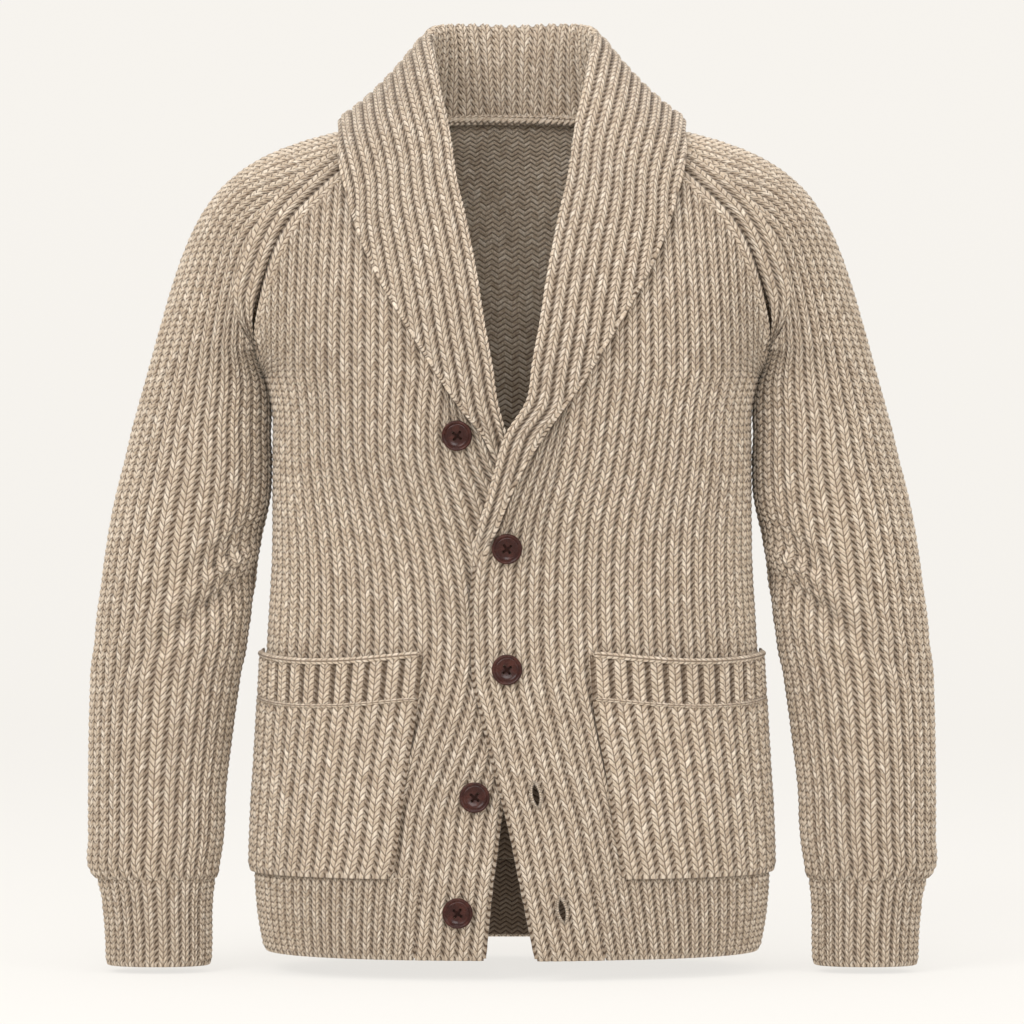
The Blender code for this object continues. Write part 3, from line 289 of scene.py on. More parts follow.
class HalfRing:
    """The front or the back half of each body section, measured along its curve from -X to +X."""

    LEVELS = np.linspace(-716, -190, 90)
    SHARES = np.linspace(0, 1, 161)

    def __init__(self, back):
        angle = np.linspace(0, math.pi, 1201)
        width, front, rear = section(self.LEVELS)
        depth = rear if back else -front
        power = 2 / ROUND
        x = -np.sign(np.cos(angle)) * np.abs(np.cos(angle)) ** power
        y = np.abs(np.sin(angle)) ** power
        self.x = np.empty((len(self.LEVELS), len(self.SHARES)))
        self.y = self.x.copy()
        self.length = np.empty(len(self.LEVELS))
        for k in range(len(self.LEVELS)):
            px = x * width[k]
            py = y * depth[k]
            run = np.concatenate([[0], np.cumsum(np.hypot(np.diff(px), np.diff(py)))])
            self.length[k] = run[-1]
            self.x[k] = np.interp(self.SHARES, run / run[-1], px)
            self.y[k] = np.interp(self.SHARES, run / run[-1], py)

    def place(self, share, z):
        """x and y at this share of the half ring."""
        row = np.clip(np.interp(z, self.LEVELS, np.arange(len(self.LEVELS))), 0, len(self.LEVELS) - 1.001)
        col = np.clip(share * (len(self.SHARES) - 1), 0, len(self.SHARES) - 1.001)
        i = row.astype(int)
        j = col.astype(int)
        a = row - i
        b = col - j
        found = []
        for grid in (self.x, self.y):
            low = grid[i, j] * (1 - b) + grid[i, j + 1] * b
            high = grid[i + 1, j] * (1 - b) + grid[i + 1, j + 1] * b
            found.append(low * (1 - a) + high * a)
        return found

    def share_of(self, line):
        """A line given as x by height, as a share of the half ring by height."""
        x = line(self.LEVELS)
        share = [np.interp(x[k], self.x[k], self.SHARES) for k in range(len(x))]
        return lambda height: np.interp(height, self.LEVELS, share)


FRONT = HalfRing(back=False)
BACK = HalfRing(back=True)


def overlap(x, z):
    """How far the buttonhole front is moved to the front, on its -X drawing."""
    table = np.array(OVERLAP, float)
    return spline(table[:, 0], table[:, 1], z) * ease(-100, -32, x)


def body_points(share, z, back=False, top=False):
    """Points of the body and their normals."""
    share, z = np.broadcast_arrays(np.asarray(share, float), np.asarray(z, float))
    x, y = (BACK if back else FRONT).place(share, z)
    return lifted(x, y, z, top)


def lifted(x, y, z, top):
    """Points of the body and their normals, moved out on the buttonhole front."""
    normal = body_normal(x, y, z)
    if top:
        y = y - overlap(x, z)
        normal = turned(normal, x, z)
    return np.stack([x, y, z], -1), normal


def turned(normal, x, z):
    """The way out of the buttonhole front, which leans where its clearance grows."""
    across = overlap(x + 0.5, z) - overlap(x - 0.5, z)
    up = overlap(x, z + 0.5) - overlap(x, z - 0.5)
    return unit(normal + normal[..., 1:2] * np.stack([across, 0 * across, up], -1))


RAGLAN_STITCHED = 24  # straight runs of a raglan seam, so that both its pieces follow one line
PANEL_COLUMNS = 32  # columns of a front, or of one side of the back, that end at the raglan seam
# How far up its seam each share of those columns ends
RAGLAN_FRONT_ENDS = ((0, 0), (0.05, 0.11), (0.105, 0.21), (0.21, 0.36), (0.353, 0.51), (0.505, 0.63), (0.642, 0.74),
                     (0.847, 0.89), (1, 1))
RAGLAN_BACK_ENDS = ((0, 0), (0.06, 0.12), (0.12, 0.22), (0.25, 0.38), (0.4, 0.53), (0.55, 0.66), (0.75, 0.82), (1, 1))


def raglan(share, back):
    """Points of a raglan seam, the way out of the cloth there, and the way from the body to the sleeve."""
    line = RAGLAN_BACK if back else RAGLAN_FRONT
    ends = np.array(RAGLAN_BACK_ENDS if back else RAGLAN_FRONT_ENDS, float)

    def place(q):
        x, z = np.moveaxis(along(line, spline(ends[:, 0], ends[:, 1], q)), -1, 0)
        return np.stack([x, body_y(x, z, back), z], -1)

    knots = np.linspace(0, 1, RAGLAN_STITCHED + 1)
    point = place(knots)
    run = unit(place(np.minimum(knots + 0.01, 1)) - place(np.maximum(knots - 0.01, 0)))
    sign = 1 if back else -1
    flat = np.where(point[..., 1:2] * sign < 0.5, 0.5 * sign, point[..., 1:2])
    normal = body_normal(point[..., 0], flat[..., 0], point[..., 2])
    away = unit(np.cross(normal, run))
    away = away * np.sign(-away[..., :1] + 1e-9)
    at = np.clip(np.asarray(share, float), 0, 1) * RAGLAN_STITCHED
    i = np.minimum(at.astype(int), RAGLAN_STITCHED - 1)
    t = (at - i)[..., None]
    return tuple(v[i] * (1 - t) + v[i + 1] * t for v in (point, normal, away))


def grid_normals(base, wrap):
    """The way out at each point of a grid, from its neighbours."""
    down = np.gradient(base, axis=0)
    if wrap:
        across = np.roll(base, -1, 1) - np.roll(base, 1, 1)
    else:
        across = np.gradient(base, axis=1)
    return unit(np.cross(across, down))


def front_tops(column, ribs):
    """Where each front column ends: on the raglan seam, then on the collar seam."""
    at_raglan = PANEL_COLUMNS / (2 * ribs)
    point, _, away = raglan(np.minimum(column / at_raglan, 1), False)
    line = np.array(NECKLINE, float)
    deep = np.interp(line[:, 1], (-190, -140, -88, -40, -4), (-122, -118, -98, -72, 0))
    x, z = drawn(line[:, 0], line[:, 1], deep)
    x[0], z[0] = line[0]
    q = np.clip((column - at_raglan) / (1 - at_raglan), 0, 1)
    edge = along(np.stack([x, z], -1), q)
    neck = np.stack([edge[..., 0], body_y(edge[..., 0], edge[..., 1], False), edge[..., 1]], -1)
    at_neck = (column > at_raglan + 1e-6)[..., None]
    return np.where(at_neck, neck, point - away * SEAM / 2)


def panel(back, top, ends, rows, share):
    """Base points and normals of a body panel from its hem to its tops: share is each column's place by height."""
    low = BODY_LOW + SEAM / 2
    z = low + (ends[:, 2] - low) * rows[:, None]
    level = np.minimum(z, ARMHOLE_Z)
    x, y = (BACK if back else FRONT).place(share(level), level)
    t = np.clip((z - ARMHOLE_Z) / np.maximum(ends[:, 2] - ARMHOLE_Z, 1e-6), 0, 1)
    above = z > ARMHOLE_Z
    x = np.where(above, x + (ends[:, 0] - x) * (t * t * (1.6 - 0.6 * t)), x)
    x = within_body(x, z)
    y = np.where(above, body_y(x, z, back), y)
    return lifted(x, y, z, top)


def within_body(x, z):
    """x kept just short of the body's side, where its depth is still known."""
    width = section(z)[0] * 0.9995
    return np.clip(x, -width, width)


def band_seam(top):
    """Where a front ends and its band begins, as a share of the half ring by height."""
    return FRONT.share_of(by_height(BAND_TOP if top else BAND_UNDER, FRONT_AT))


def front_panel(kind, ribs, column, rows):
    top = kind == "top"
    band = band_seam(top)
    edge = SIDE_GAP / FRONT.length[0]
    return panel(False, top, front_tops(column, ribs), rows, lambda z: edge + column * (band(z) - 2 * edge))


def band_grid(kind, column, z):
    """Base points and normals of a front band."""
    top = kind == "top"
    edge = FRONT.share_of(by_height(EDGE_TOP if top else EDGE_UNDER, FRONT_AT))
    start = band_seam(top)(z)[:, None] + SEAM / 2 / RING_ABOUT
    share = start + column * (edge(z)[:, None] - start)
    return body_points(share, z[:, None], top=top)


def back_tops(column, ribs):
    """Where each back column ends: on a raglan seam or under the collar."""
    half = np.minimum(column, 1 - column)
    at_raglan = PANEL_COLUMNS / (2 * ribs)
    side = np.where(column < 0.5, 1.0, -1.0)[..., None] * np.array((1, 0, 0)) + np.array((0, 1, 1))
    point, _, away = raglan(np.minimum(half / at_raglan, 1), True)
    q = np.clip((half - at_raglan) / (0.5 - at_raglan), 0, 1)
    x = -62 * (1 - q)
    z = 9 + 1.2 * ease(0, 1, q)
    neck = np.stack([x, body_y(x, z, True), z], -1)
    return np.where((half > at_raglan + 1e-6)[..., None], neck, point - away * SEAM / 2) * side


def back_panel(ribs, column, rows):
    edge = SIDE_GAP / RING_ABOUT
    return panel(True, False, back_tops(column, ribs), rows, lambda z: edge + column * (1 - 2 * edge) + 0 * z)


LOOP_FRONT = 12 / 30  # share of the sleeve's ribs that end at the front raglan seam, and again at the back
UNDERARM_OVER = 2.2  # how far outside the body's seam the sleeve ends at the underarm, where it folds down
SLEEVE_LOW_HEAD = -335.0  # where the sleeve's head begins
# Share of the way up the raglan seams, then how far along the shoulder line that section passes, and its fullness
SLEEVE_HEAD = np.array(
    (
        (0.0, 0.05, 60),
        (0.03, 0.12, 40),
        (0.06, 0.18, 26),
        (0.125, 0.3, 9),
        (0.25, 0.48, 1),
        (0.5, 0.7, -1),
        (0.75, 0.845, -2),
        (1.0, 1.0, 0),
    ),
    float,
)
SHOULDER_START = np.array((-324, 1, -255.0))
SHOULDER_END = np.array((-98, 8, 6.0))
SHOULDER_AWAY = np.array((160, 0, 548.0))
SHOULDER_INTO = np.array((556, 0, 90.0))


def shoulder_line(t):
    """The outer line of the sleeve from below the shoulder to the neck."""
    t = np.asarray(t, float)[..., None]
    return (
        (2 * t**3 - 3 * t**2 + 1) * SHOULDER_START
        + (t**3 - 2 * t**2 + t) * SHOULDER_AWAY
        + (3 * t**2 - 2 * t**3) * SHOULDER_END
        + (t**3 - t**2) * SHOULDER_INTO
    )


def sleeve_ends(s):
    """Where the sleeve meets both raglan seams at this share of the way up them."""
    low = (1 - ease(0, 0.4, s))[..., None]
    found = []
    for back in (False, True):
        point, normal, away = raglan(s, back)
        found.append(point + away * SEAM * 0.8 + normal * UNDERARM_OVER * low)
    return found


def head_points(f, s):
    """Points of the sleeve's head: each column f runs up until it meets a raglan seam or the neck."""
    return head_section((f - LOOP_FRONT * s) / (1 - 2 * LOOP_FRONT * s), s)


def head_section(w, s):
    """Points across the sleeve's head, from the front seam at w = 0 round the outside to the back seam at 1."""
    front, back = sleeve_ends(s)
    found = spline(SLEEVE_HEAD[:, 0], SLEEVE_HEAD[:, 1:], s)
    middle = (front + back) / 2
    low = 1 - ease(0, 0.3, s)
    rise = low * np.sin(math.pi * w) ** 2 + (1 - low) * np.sin(math.pi * w)
    points = middle + (front - middle) * np.cos(math.pi * w)[..., None]
    points = points + (shoulder_line(found[..., 0]) - middle) * rise[..., None]
    points[..., 1] -= found[..., 1] * np.sin(2 * math.pi * w)
    at_neck = ease(0.8, 1, s)[..., None]
    return points * (1 - at_neck) + along(NECK_SIDE, np.clip(w, 0, 1)) * at_neck


def oval(table, z, f):
    """Points of a sleeve section: f is 0 at the body, 0.25 at the front and 0.5 outside."""
    found = spline(table[:, 0], table[:, 1:], z)
    angle = 2 * math.pi * f
    c = np.cos(angle)
    s = np.sin(angle)
    power = 2 / 2.15
    x = found[..., 0] + found[..., 1] * np.sign(c) * np.abs(c) ** power
    y = found[..., 2] - found[..., 3] * np.sign(s) * np.abs(s) ** power
    return np.stack([x, y, np.broadcast_to(z, x.shape)], -1)


def elbow_creases(x, z, f):
    """Depth of the folds at the elbow, leaning up to the outside, and fainter ones behind it."""
    front = np.exp(-(((f - 0.19) / 0.16) ** 2))
    lean = z - 0.7 * (x + 285)
    fold = np.exp(-(((lean + 428) / 13) ** 2)) * 5.0
    fold = fold + np.exp(-(((lean + 392) / 12) ** 2)) * 3.2
    fold = fold - np.exp(-(((lean + 411) / 10) ** 2)) * 1.5
    near = np.exp(-(((lean + 412) / 34) ** 2)) * np.exp(-(((f - 0.13) / 0.11) ** 2))
    fold = fold + 1.8 * near * np.cos(2 * math.pi * (lean + 428) / 14.5)
    behind = np.exp(-(((f - 0.8) / 0.13) ** 2)) * np.exp(-(((z + 405) / 45) ** 2))
    return fold * front + behind * (1.2 + 1.6 * np.cos(2 * math.pi * (z + 0.4 * x + 290) / 34))


def head_paths(f, rows):
    """Each column from the top of the plain sleeve to its end, at this many equal steps."""
    last = np.minimum(1, np.minimum(f, 1 - f) / LOOP_FRONT)
    high = head_points(f[None, :], last[None, :] * np.linspace(0, 1, 91)[:, None])
    z = SLEEVE_LOW_HEAD + (high[0, :, 2] - SLEEVE_LOW_HEAD) * np.linspace(0, 1, 21)[:-1, None]
    low = oval(SLEEVE, z, f[None, :])
    turn = ease(0, 1, np.linspace(0, 1, 21)[:-1])[:, None, None]
    low[..., :2] += turn * (high[0, :, :2] - oval(SLEEVE, high[0, :, 2], f)[:, :2])
    path = np.concatenate([low, high])
    run = lengths(path)
    return follow(run, run[-1] * np.linspace(0, 1, rows)[:, None], path)


def follow(run, at, values, columns=None):
    """Values of a grid's columns where each has run as far as at says."""
    columns = range(values.shape[1]) if columns is None else columns
    found = np.empty((len(at), len(columns), 3))
    for m, c in enumerate(columns):
        for k in range(3):
            found[:, m, k] = np.interp(at[:, c], run[:, c], values[:, c, k])
    return found


COLLAR_OVER = 8.0  # how far the fall's grooves lie above the body's
FOLD_OVER = 3.0
LAPEL_ROUND = 6.5  # how far the fold rounds
LAPEL_BELLY = 0.09  # how full the part outside the fold is, as a share of its length


def lapel_stations(rows, top):
    """Drawn lapel rows as stations: seam, fold, outer edge, way out, rounding."""
    found = []
    for sx, sz, fx, fz, ox, oz in rows:
        points = []
        for px, pz, over in ((sx, sz, 0.0), (fx, fz, FOLD_OVER), (ox, oz, COLLAR_OVER)):
            x, z = drawn(px, pz, -122 if pz < -150 else np.interp(pz, (-150, 0), (-122, -60)))
            y = body_y(min(float(x), 0.0), z, False)
            normal = body_normal(min(float(x), -0.5), y, z)
            if top:
                y = y - overlap(x, z)
                normal = turned(normal, x, z)
            points.append(np.array((x, y, z)) + normal * over)
        found.append((*points, normal, LAPEL_ROUND, LAPEL_BELLY))
    return found


def collar_section(seam, fold, outer, out, radius, belly, w):
    """Points across the collar: w is 0 at the seam, 1 at the fold and 2 at the outer edge."""
    up = unit(fold - seam)
    seam = seam - out * 2.2 + up * 2.6
    reach = np.linalg.norm(fold - seam)
    fall = np.linalg.norm(outer - fold)
    radius = min(radius, 0.45 * fall, 0.8 * reach)
    stand = (seam, seam + up * reach * 0.45 - out * radius * 0.4, fold - out * radius, fold)
    drop = unit(outer - fold)
    hang = (fold, fold + out * radius, outer - drop * fall * 0.4 + out * fall * belly, outer)
    t = np.where(w <= 1, w, w - 1)[:, None]
    parts = [
        (1 - t) ** 3 * p[0] + 3 * (1 - t) ** 2 * t * p[1] + 3 * (1 - t) * t**2 * p[2] + t**3 * p[3]
        for p in (stand, hang)
    ]
    return np.where((w <= 1)[:, None], parts[0], parts[1])


def collar_stations():
    """Every collar station from the under front's point round the neck to the buttonhole front's."""
    back = [tuple(np.array(p, float) for p in row[:4]) + row[4:] for row in COLLAR_BACK]
    under = back + lapel_stations(LAPEL_UNDER, False)
    top = back + lapel_stations(LAPEL_TOP, True)
    turn = np.array((-1, 1, 1.0))
    every = under[::-1] + [tuple(p * turn for p in row[:4]) + row[4:] for row in top[1:]]
    table = np.array([np.concatenate([*row[:4], row[4:]]) for row in every])
    return table, lengths(table[:, 3:6])


def collar_points(across, at, table, run):
    """Collar points: each place along the fold has its own places across."""
    rows = zip(spline(run, table, at), across)
    return np.array([collar_section(r[0:3], r[3:6], r[6:9], unit(r[9:12]), r[12], r[13], w) for r, w in rows])


POCKET_TOP = -449.0
WELT_LOW = -487.0
POCKET_WALL = 2.2
POCKET_OUT = RIB + 0.7 + WALL  # from the front's base to the pocket's
POCKET_START = 0.004  # share of the half ring where the pocket's outer edge is
ROLL_FROM = 9  # column of the pocket where its rolled edges begin


def pocket_grid(kind, z, column, start, out):
    """A pocket's points, out from the front's by the front's ribs and the pocket's own wall."""
    edge = FRONT.share_of(by_height(POCKET_EDGE[kind], 95))
    share = start + column * (edge(z) - start)
    base, normal = body_points(share, z, top=kind == "top")
    return base + normal * out[..., None], normal


def pocket_sag(column):
    """How far a pocket's opening hangs down."""
    return -7.0 * np.sin(math.pi * column) ** 1.2


def on_front(kind, x, z):
    """A point of a front and the way out of it, from its drawn place."""
    true_x, true_z = drawn(x, z, -128.0)
    flat = min(float(true_x), -0.5)
    y = float(body_y(flat, true_z, False))
    normal = body_normal(np.array(flat), np.array(y), np.array(float(true_z)))
    if kind == "top":
        y = y - float(overlap(true_x, true_z))
        normal = turned(normal, true_x, true_z)
    return np.array((float(true_x), y, float(true_z))), normal


def frame_at(normal):
    """Sideways and up on a surface that faces this way."""
    side = unit(np.cross(normal, np.array((0, 0, 1.0))))
    return side, np.cross(side, normal)


# ---------------------------------------------------------------- knitting

# How high a rib stands across its width, over its groove: share of the width, on a stitch and between stitches
PLAIN = ((0.0, -1.0, -1.6), (0.1, -0.9, -1.4), (0.18, 0.7, 0.1), (0.33, 2.1, 1.3), (0.5, 0.1, -0.5),
         (0.67, 2.1, 1.3), (0.82, 0.7, 0.1), (0.9, -0.9, -1.4), (1.0, -1.0, -1.6))
DEEP = ((0.0, -1.8, -2.2), (0.1, -1.4, -1.9), (0.19, 0.7, 0.0), (0.34, 2.2, 1.4), (0.5, 0.4, -0.2),
        (0.66, 2.2, 1.4), (0.81, 0.7, 0.0), (0.9, -1.4, -1.9), (1.0, -1.8, -2.2))
STEPS = (0.0, 0.1, 0.18, 0.33, 0.5, 0.67, 0.82, 0.9)
STRIP_SLEEVE = 23.0  # width of the ribs that follow a raglan seam on its sleeve side
STRIP_BODY = 12.5  # and on its body side
STRIP_SUNK = 2.2  # how far the other ribs run in under those
UNEVEN_PLACE = 0.045  # how far a stitch strays from its place, in stitches
UNEVEN_RISE = 0.1  # and from its height, as a share of it


def knit():
    return bpy.context.scene.cardigan_knit


def stitch_height(ribbed=False):
    """Height of a stitch in millimetres."""
    return (knit().rib_stitch if ribbed else knit().stitch) / MM


def ribs_across(count):
    """Places across this many ribs, closer where a rib rises."""
    return np.concatenate([(np.arange(count)[:, None] + np.array(STEPS)).ravel(), [count]])


def chevron(across):
    """How far up a leg of a V lies from the middle of its rib, in stitches."""
    return 0.9 * np.minimum(np.abs(across % 1 - 0.5) / 0.3, 1)


def relief(across, on_stitch, profile):
    """Height of the knitting: on_stitch is 1 on a stitch and 0 between two."""
    table = np.array(profile)
    share = across % 1
    low = np.interp(share, table[:, 0], table[:, 2])
    return low + (np.interp(share, table[:, 0], table[:, 1]) - low) * on_stitch


def share_along(points):
    """How far along its line each point lies, from 0 to 1."""
    run = lengths(points)
    return run / run[-1]


LEVEL_ROWS = 0.35  # share of a raglan panel's rows that run straight across, below its slanted edges


def cut_of(base, level=1.0):
    """Width, length and area of the flat cloth that a sheet was cut from, in metres.

    The share of its rows that is level gives the width.
    """
    across = np.linalg.norm(np.diff(base, axis=1), axis=2)
    up = np.linalg.norm(np.diff(base, axis=0), axis=2)
    area = np.linalg.norm(np.cross(base[1:, :-1] - base[:-1, :-1], base[:-1, 1:] - base[:-1, :-1]), axis=2).sum()
    width = across.sum(1)[: round(len(across) * level)].max() * MM
    length = up.sum(0).max() * MM
    return width, length, min(area * MM * MM, width * length)


def marked(rib, stitch, height):
    """The marks of a grid, which tell the yarn's finish where it is in the knitting."""
    return np.stack(np.broadcast_arrays(rib, stitch, height), -1)


def strip_width(s, full):
    """Width of the ribs along a raglan seam, which start from nothing at the underarm."""
    return full * ease(0.0, 0.14, s)


def reach_of(base, line, widths):
    """Length of each column up to the ribs that follow a seam: line holds the seam's points."""
    run = lengths(base)
    ends = run[-1].copy()
    for k in range(base.shape[1]):
        near = (np.sqrt(((base[:, k, None] - line[None]) ** 2).sum(-1)) - widths).min(1)
        outside = np.nonzero(near > 0)[0]
        last = outside[-1] if len(outside) else 0
        if last < len(near) - 1:
            step = near[last] / max(near[last] - near[last + 1], 1e-6)
            ends[k] = run[last, k] + (run[last + 1, k] - run[last, k]) * min(max(step, 0), 1)
    return ends


class Cloth:
    """The points and faces of one knitted piece while it is made."""

    def __init__(self, name):
        self.name = name
        self.points = []
        self.marks = []
        self.faces = {3: [], 4: []}
        self.inside = {3: [], 4: []}
        self.count = 0
        self.area = 0.0
        self.width = 0.0
        self.length = 0.0

    def add(self, points, marks):
        """Adds a grid of points with its rib, stitch and height marks, and returns its numbers."""
        shape = points.shape[:-1]
        self.points.append(points.reshape(-1, 3))
        self.marks.append(np.broadcast_to(marks, points.shape).reshape(-1, 3))
        number = self.count + np.arange(int(np.prod(shape))).reshape(shape)
        self.count += number.size
        return number

    def skin(self, number, facing, inside=0):
        """Faces between the numbers of a grid, turned to face this way."""
        where = np.concatenate(self.points)
        a, b, c, d = (g.ravel() for g in (number[:-1, :-1], number[:-1, 1:], number[1:, 1:], number[1:, :-1]))
        kept = ~((a == d) & (b == c)) & ~((a == b) & (c == d))
        a, b, c, d = a[kept], b[kept], c[kept], d[kept]
        way = np.cross(where[c] - where[a], where[d] - where[b])
        facing = np.broadcast_to(facing, (*number.shape, 3))[:-1, :-1].reshape(-1, 3)[kept]
        turned_over = (way * facing).sum() < 0
        if turned_over:
            b, d = d, b
        three = (a == d) | (b == c) | (a == b) | (c == d)
        self.faces[4].append(np.stack([a, b, c, d], -1)[~three])
        self.inside[4].append(np.full((~three).sum(), inside))
        if three.any():
            quads = np.stack([a, b, c, d], -1)[three]
            corners = np.array([[v for i, v in enumerate(q) if v != q[i - 1]] for q in quads])
            self.faces[3].append(corners)
            self.inside[3].append(np.full(len(corners), inside))
        return turned_over

    def rim(self, outer, inner, out, bulge, turns=5):
        """A rounded edge from a line of outer points to a line of inner ones, standing out by bulge."""
        where = np.concatenate(self.points)
        marks = np.concatenate(self.marks)[outer]
        at = share_along(where[outer])
        at_inner = share_along(where[inner])
        opposite = np.stack([np.interp(at, at_inner, where[inner][:, k]) for k in range(3)], -1)
        t = np.linspace(0, math.pi, turns)[1:-1, None, None]
        strip = where[outer] + (opposite - where[outer]) * (1 - np.cos(t)) / 2 + out * bulge * np.sin(t)
        number = np.concatenate([outer[None], self.add(strip, marks)])
        turned_over = self.skin(number, out, 0)
        last = number[-1]
        corners = []
        i = j = 0
        while i < len(last) - 1 or j < len(inner) - 1:
            if j == len(inner) - 1 or (i < len(last) - 1 and at[i + 1] <= at_inner[j + 1]):
                corners.append((last[i], last[i + 1], inner[j]))
                i += 1
            else:
                corners.append((last[i], inner[j + 1], inner[j]))
                j += 1
        corners = np.array([c for c in corners if len(set(c)) == 3])
        self.faces[3].append(corners[:, ::-1] if turned_over else corners)
        self.inside[3].append(np.zeros(len(corners), int))

    def make(self, materials):
        """The finished object."""
        points = np.concatenate(self.points) * MM
        marks = np.concatenate(self.marks)
        mesh = bpy.data.meshes.new(self.name)
        threes = np.concatenate(self.faces[3]) if self.faces[3] else np.zeros((0, 3), int)
        fours = np.concatenate(self.faces[4])
        corners = np.concatenate([fours.ravel(), threes.ravel()])
        sizes = np.concatenate([np.full(len(fours), 4), np.full(len(threes), 3)])
        kinds = np.concatenate(self.inside[4] + (self.inside[3] or [np.zeros(0, int)]))
        used, corners = np.unique(corners, return_inverse=True)
        mesh.vertices.add(len(used))
        mesh.vertices.foreach_set("co", points[used].astype(np.float32).ravel())
        mesh.loops.add(len(corners))
        mesh.loops.foreach_set("vertex_index", corners.astype(np.int32).ravel())
        mesh.polygons.add(len(sizes))
        mesh.polygons.foreach_set("loop_start", (np.cumsum(sizes) - sizes).astype(np.int32))
        mesh.polygons.foreach_set("material_index", kinds.astype(np.int32))
        mesh.update(calc_edges=True)
        mesh.validate()
        mesh.shade_smooth()
        kept = mesh.attributes.new("knit", "FLOAT_VECTOR", "POINT")
        kept.data.foreach_set("vector", marks[used].astype(np.float32).ravel())
        for material in materials:
            mesh.materials.append(material)
        made = bpy.data.objects.new(self.name, mesh)
        bpy.context.scene.collection.objects.link(made)
        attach(made, "root")
        return made


def knitted(cloth, base, normal, across, profile, stitch, ends=None, seed=1, edges=(0.8, 0.8, 0.8, 0.8), wrap=False,
            lines=28, out=0.0, depth=WALL, rib_at=0.0):
    """Knits one sheet: rows of stitches up every rib, a plain inside and rounded edges.

    base and normal are dense grids, a column for each place in across. edges are how far the bottom,
    top, first and last edges stand out, or None for no edge. Each stitch takes two rows of points.
    """
    run = lengths(base)
    total = run[-1] if ends is None else np.minimum(ends, run[-1])
    rows = int(math.ceil(total.max() / (stitch / 2))) + 4
    j = np.arange(-2, rows)
    chance = np.random.default_rng(seed)
    lean = chevron(across) * stitch
    legs = np.floor(across * 2 + 1e-6).astype(int)
    cells = (len(j) // 2 + 2, legs.max() + 2)
    loose = chance.normal(0, UNEVEN_PLACE, cells) * stitch
    rise = chance.normal(0, UNEVEN_RISE, cells)
    pair = np.arange(len(j)) // 2
    at = stitch * 0.5 * j[:, None] + lean[None] - 0.6 * stitch + loose[pair][:, legs]
    at = np.clip(np.maximum.accumulate(at, axis=0), 0, total[None])
    on = (j % 2 == 0).astype(float)[:, None] * np.ones(len(across))[None]
    height = relief(across[None], on, profile) * (1 + rise[pair][:, legs] * 0.5)
    fade = np.minimum(np.minimum(at, total[None] - at) / 2.0, 1)
    height = np.where(fade < 1, height * (0.45 + 0.55 * fade), height)
    flat = follow(run, at, base)
    way = unit(follow(run, at, normal))
    points = flat + way * (height + out)[..., None]
    number = cloth.add(points, marked(across + rib_at, (at - lean[None]) / stitch, height))
    for c in range(number.shape[1]):
        low = np.nonzero(at[:, c] <= 1e-9)[0]
        high = np.nonzero(at[:, c] >= total[c] - 1e-9)[0]
        if len(low):
            number[: low[-1], c] = number[low[-1], c]
        if len(high):
            number[high[0] :, c] = number[high[0], c]
    # the inside is plain, so every other place across is enough
    share = np.linspace(0, 1, lines)[:, None] * total[None]
    few = np.unique(np.append(np.arange(0, base.shape[1], 2), base.shape[1] - 1))
    back = follow(run, share, base, few)
    back_way = unit(follow(run, share, normal, few))
    inner = back - back_way * (depth - out)
    if wrap:
        number[:, -1] = number[:, 0]
    cloth.skin(number, way, 0)
    inner_number = cloth.add(inner, marked(across[few] + rib_at, share[:, few] / stitch, 0))
    if wrap:
        inner_number[:, -1] = inner_number[:, 0]
    cloth.skin(inner_number, -back_way, 1)
    width, length, area = cut_of(back, 1.0 if ends is None else LEVEL_ROWS)
    cloth.width = max(cloth.width, width)
    cloth.length = max(cloth.length, length)
    cloth.area += area
    sides = (
        (number[0], inner_number[0], base[0] - base[1]),
        (number[-1], inner_number[-1], base[-1] - base[-2]),
        (number[:, 0], inner_number[:, 0], flat[:, 0] - flat[:, 1]),
        (number[:, -1], inner_number[:, -1], flat[:, -1] - flat[:, -2]),
    )
    for (outer, under, away), bulge in list(zip(sides, edges))[: 2 if wrap else 4]:
        if bulge is not None:
            cloth.rim(outer, under, unit(away), bulge)


def dressed(cloth, node):
    """Makes the object and hides the solid that it stands for; the size of the cloth that it was cut from is worked
    out but not kept.
    """
    made = cloth.make(yarn())
    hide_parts(node)
    length = cloth.length
    width = max(cloth.width, cloth.area / length)
    min(cloth.area, width * length * 0.999)
    return made


def trimmed(cloth):
    """Makes a trim of the ribbing's yarn, which stands for no solid."""
    cloth.make(yarn())


def mirrored(points, normal, kind):
    """The buttonhole front is drawn on the -X side and belongs on the +X side."""
    turn = np.array((-1, 1, 1.0)) if kind == "top" else np.ones(3)
    return points * turn, normal * turn


# ---------------------------------------------------------------- finishes


class Wire:
    """A socket of a finish, for plain arithmetic."""

    def __init__(self, finish, socket):
        self.finish = finish
        self.socket = socket

    def math(self, operation, a, b=0.0):
        return self.finish.add("ShaderNodeMath", {"operation": operation}, {0: a, 1: b})

    def __add__(self, other):
        return self.math("ADD", self, other)

    def __radd__(self, other):
        return self.math("ADD", other, self)

    def __sub__(self, other):
        return self.math("SUBTRACT", self, other)

    def __rsub__(self, other):
        return self.math("SUBTRACT", other, self)

    def __mul__(self, other):
        return self.math("MULTIPLY", self, other)

    def __rmul__(self, other):
        return self.math("MULTIPLY", other, self)

    def floor(self):
        return self.math("FLOOR", self)

    def fract(self):
        return self.math("FRACT", self)

    def abs(self):
        return self.math("ABSOLUTE", self)

    def cos(self):
        return self.math("COSINE", self)

    def most(self, other):
        return self.math("MAXIMUM", self, other)

    def clamped(self):
        return self.finish.add("ShaderNodeClamp", None, {"Value": self})

    def step(self, low, high):
        """0 below low, 1 above high and smooth between."""
        settings = {"interpolation_type": "SMOOTHSTEP"}
        return self.finish.add("ShaderNodeMapRange", settings, {"Value": self, "From Min": low, "From Max": high})


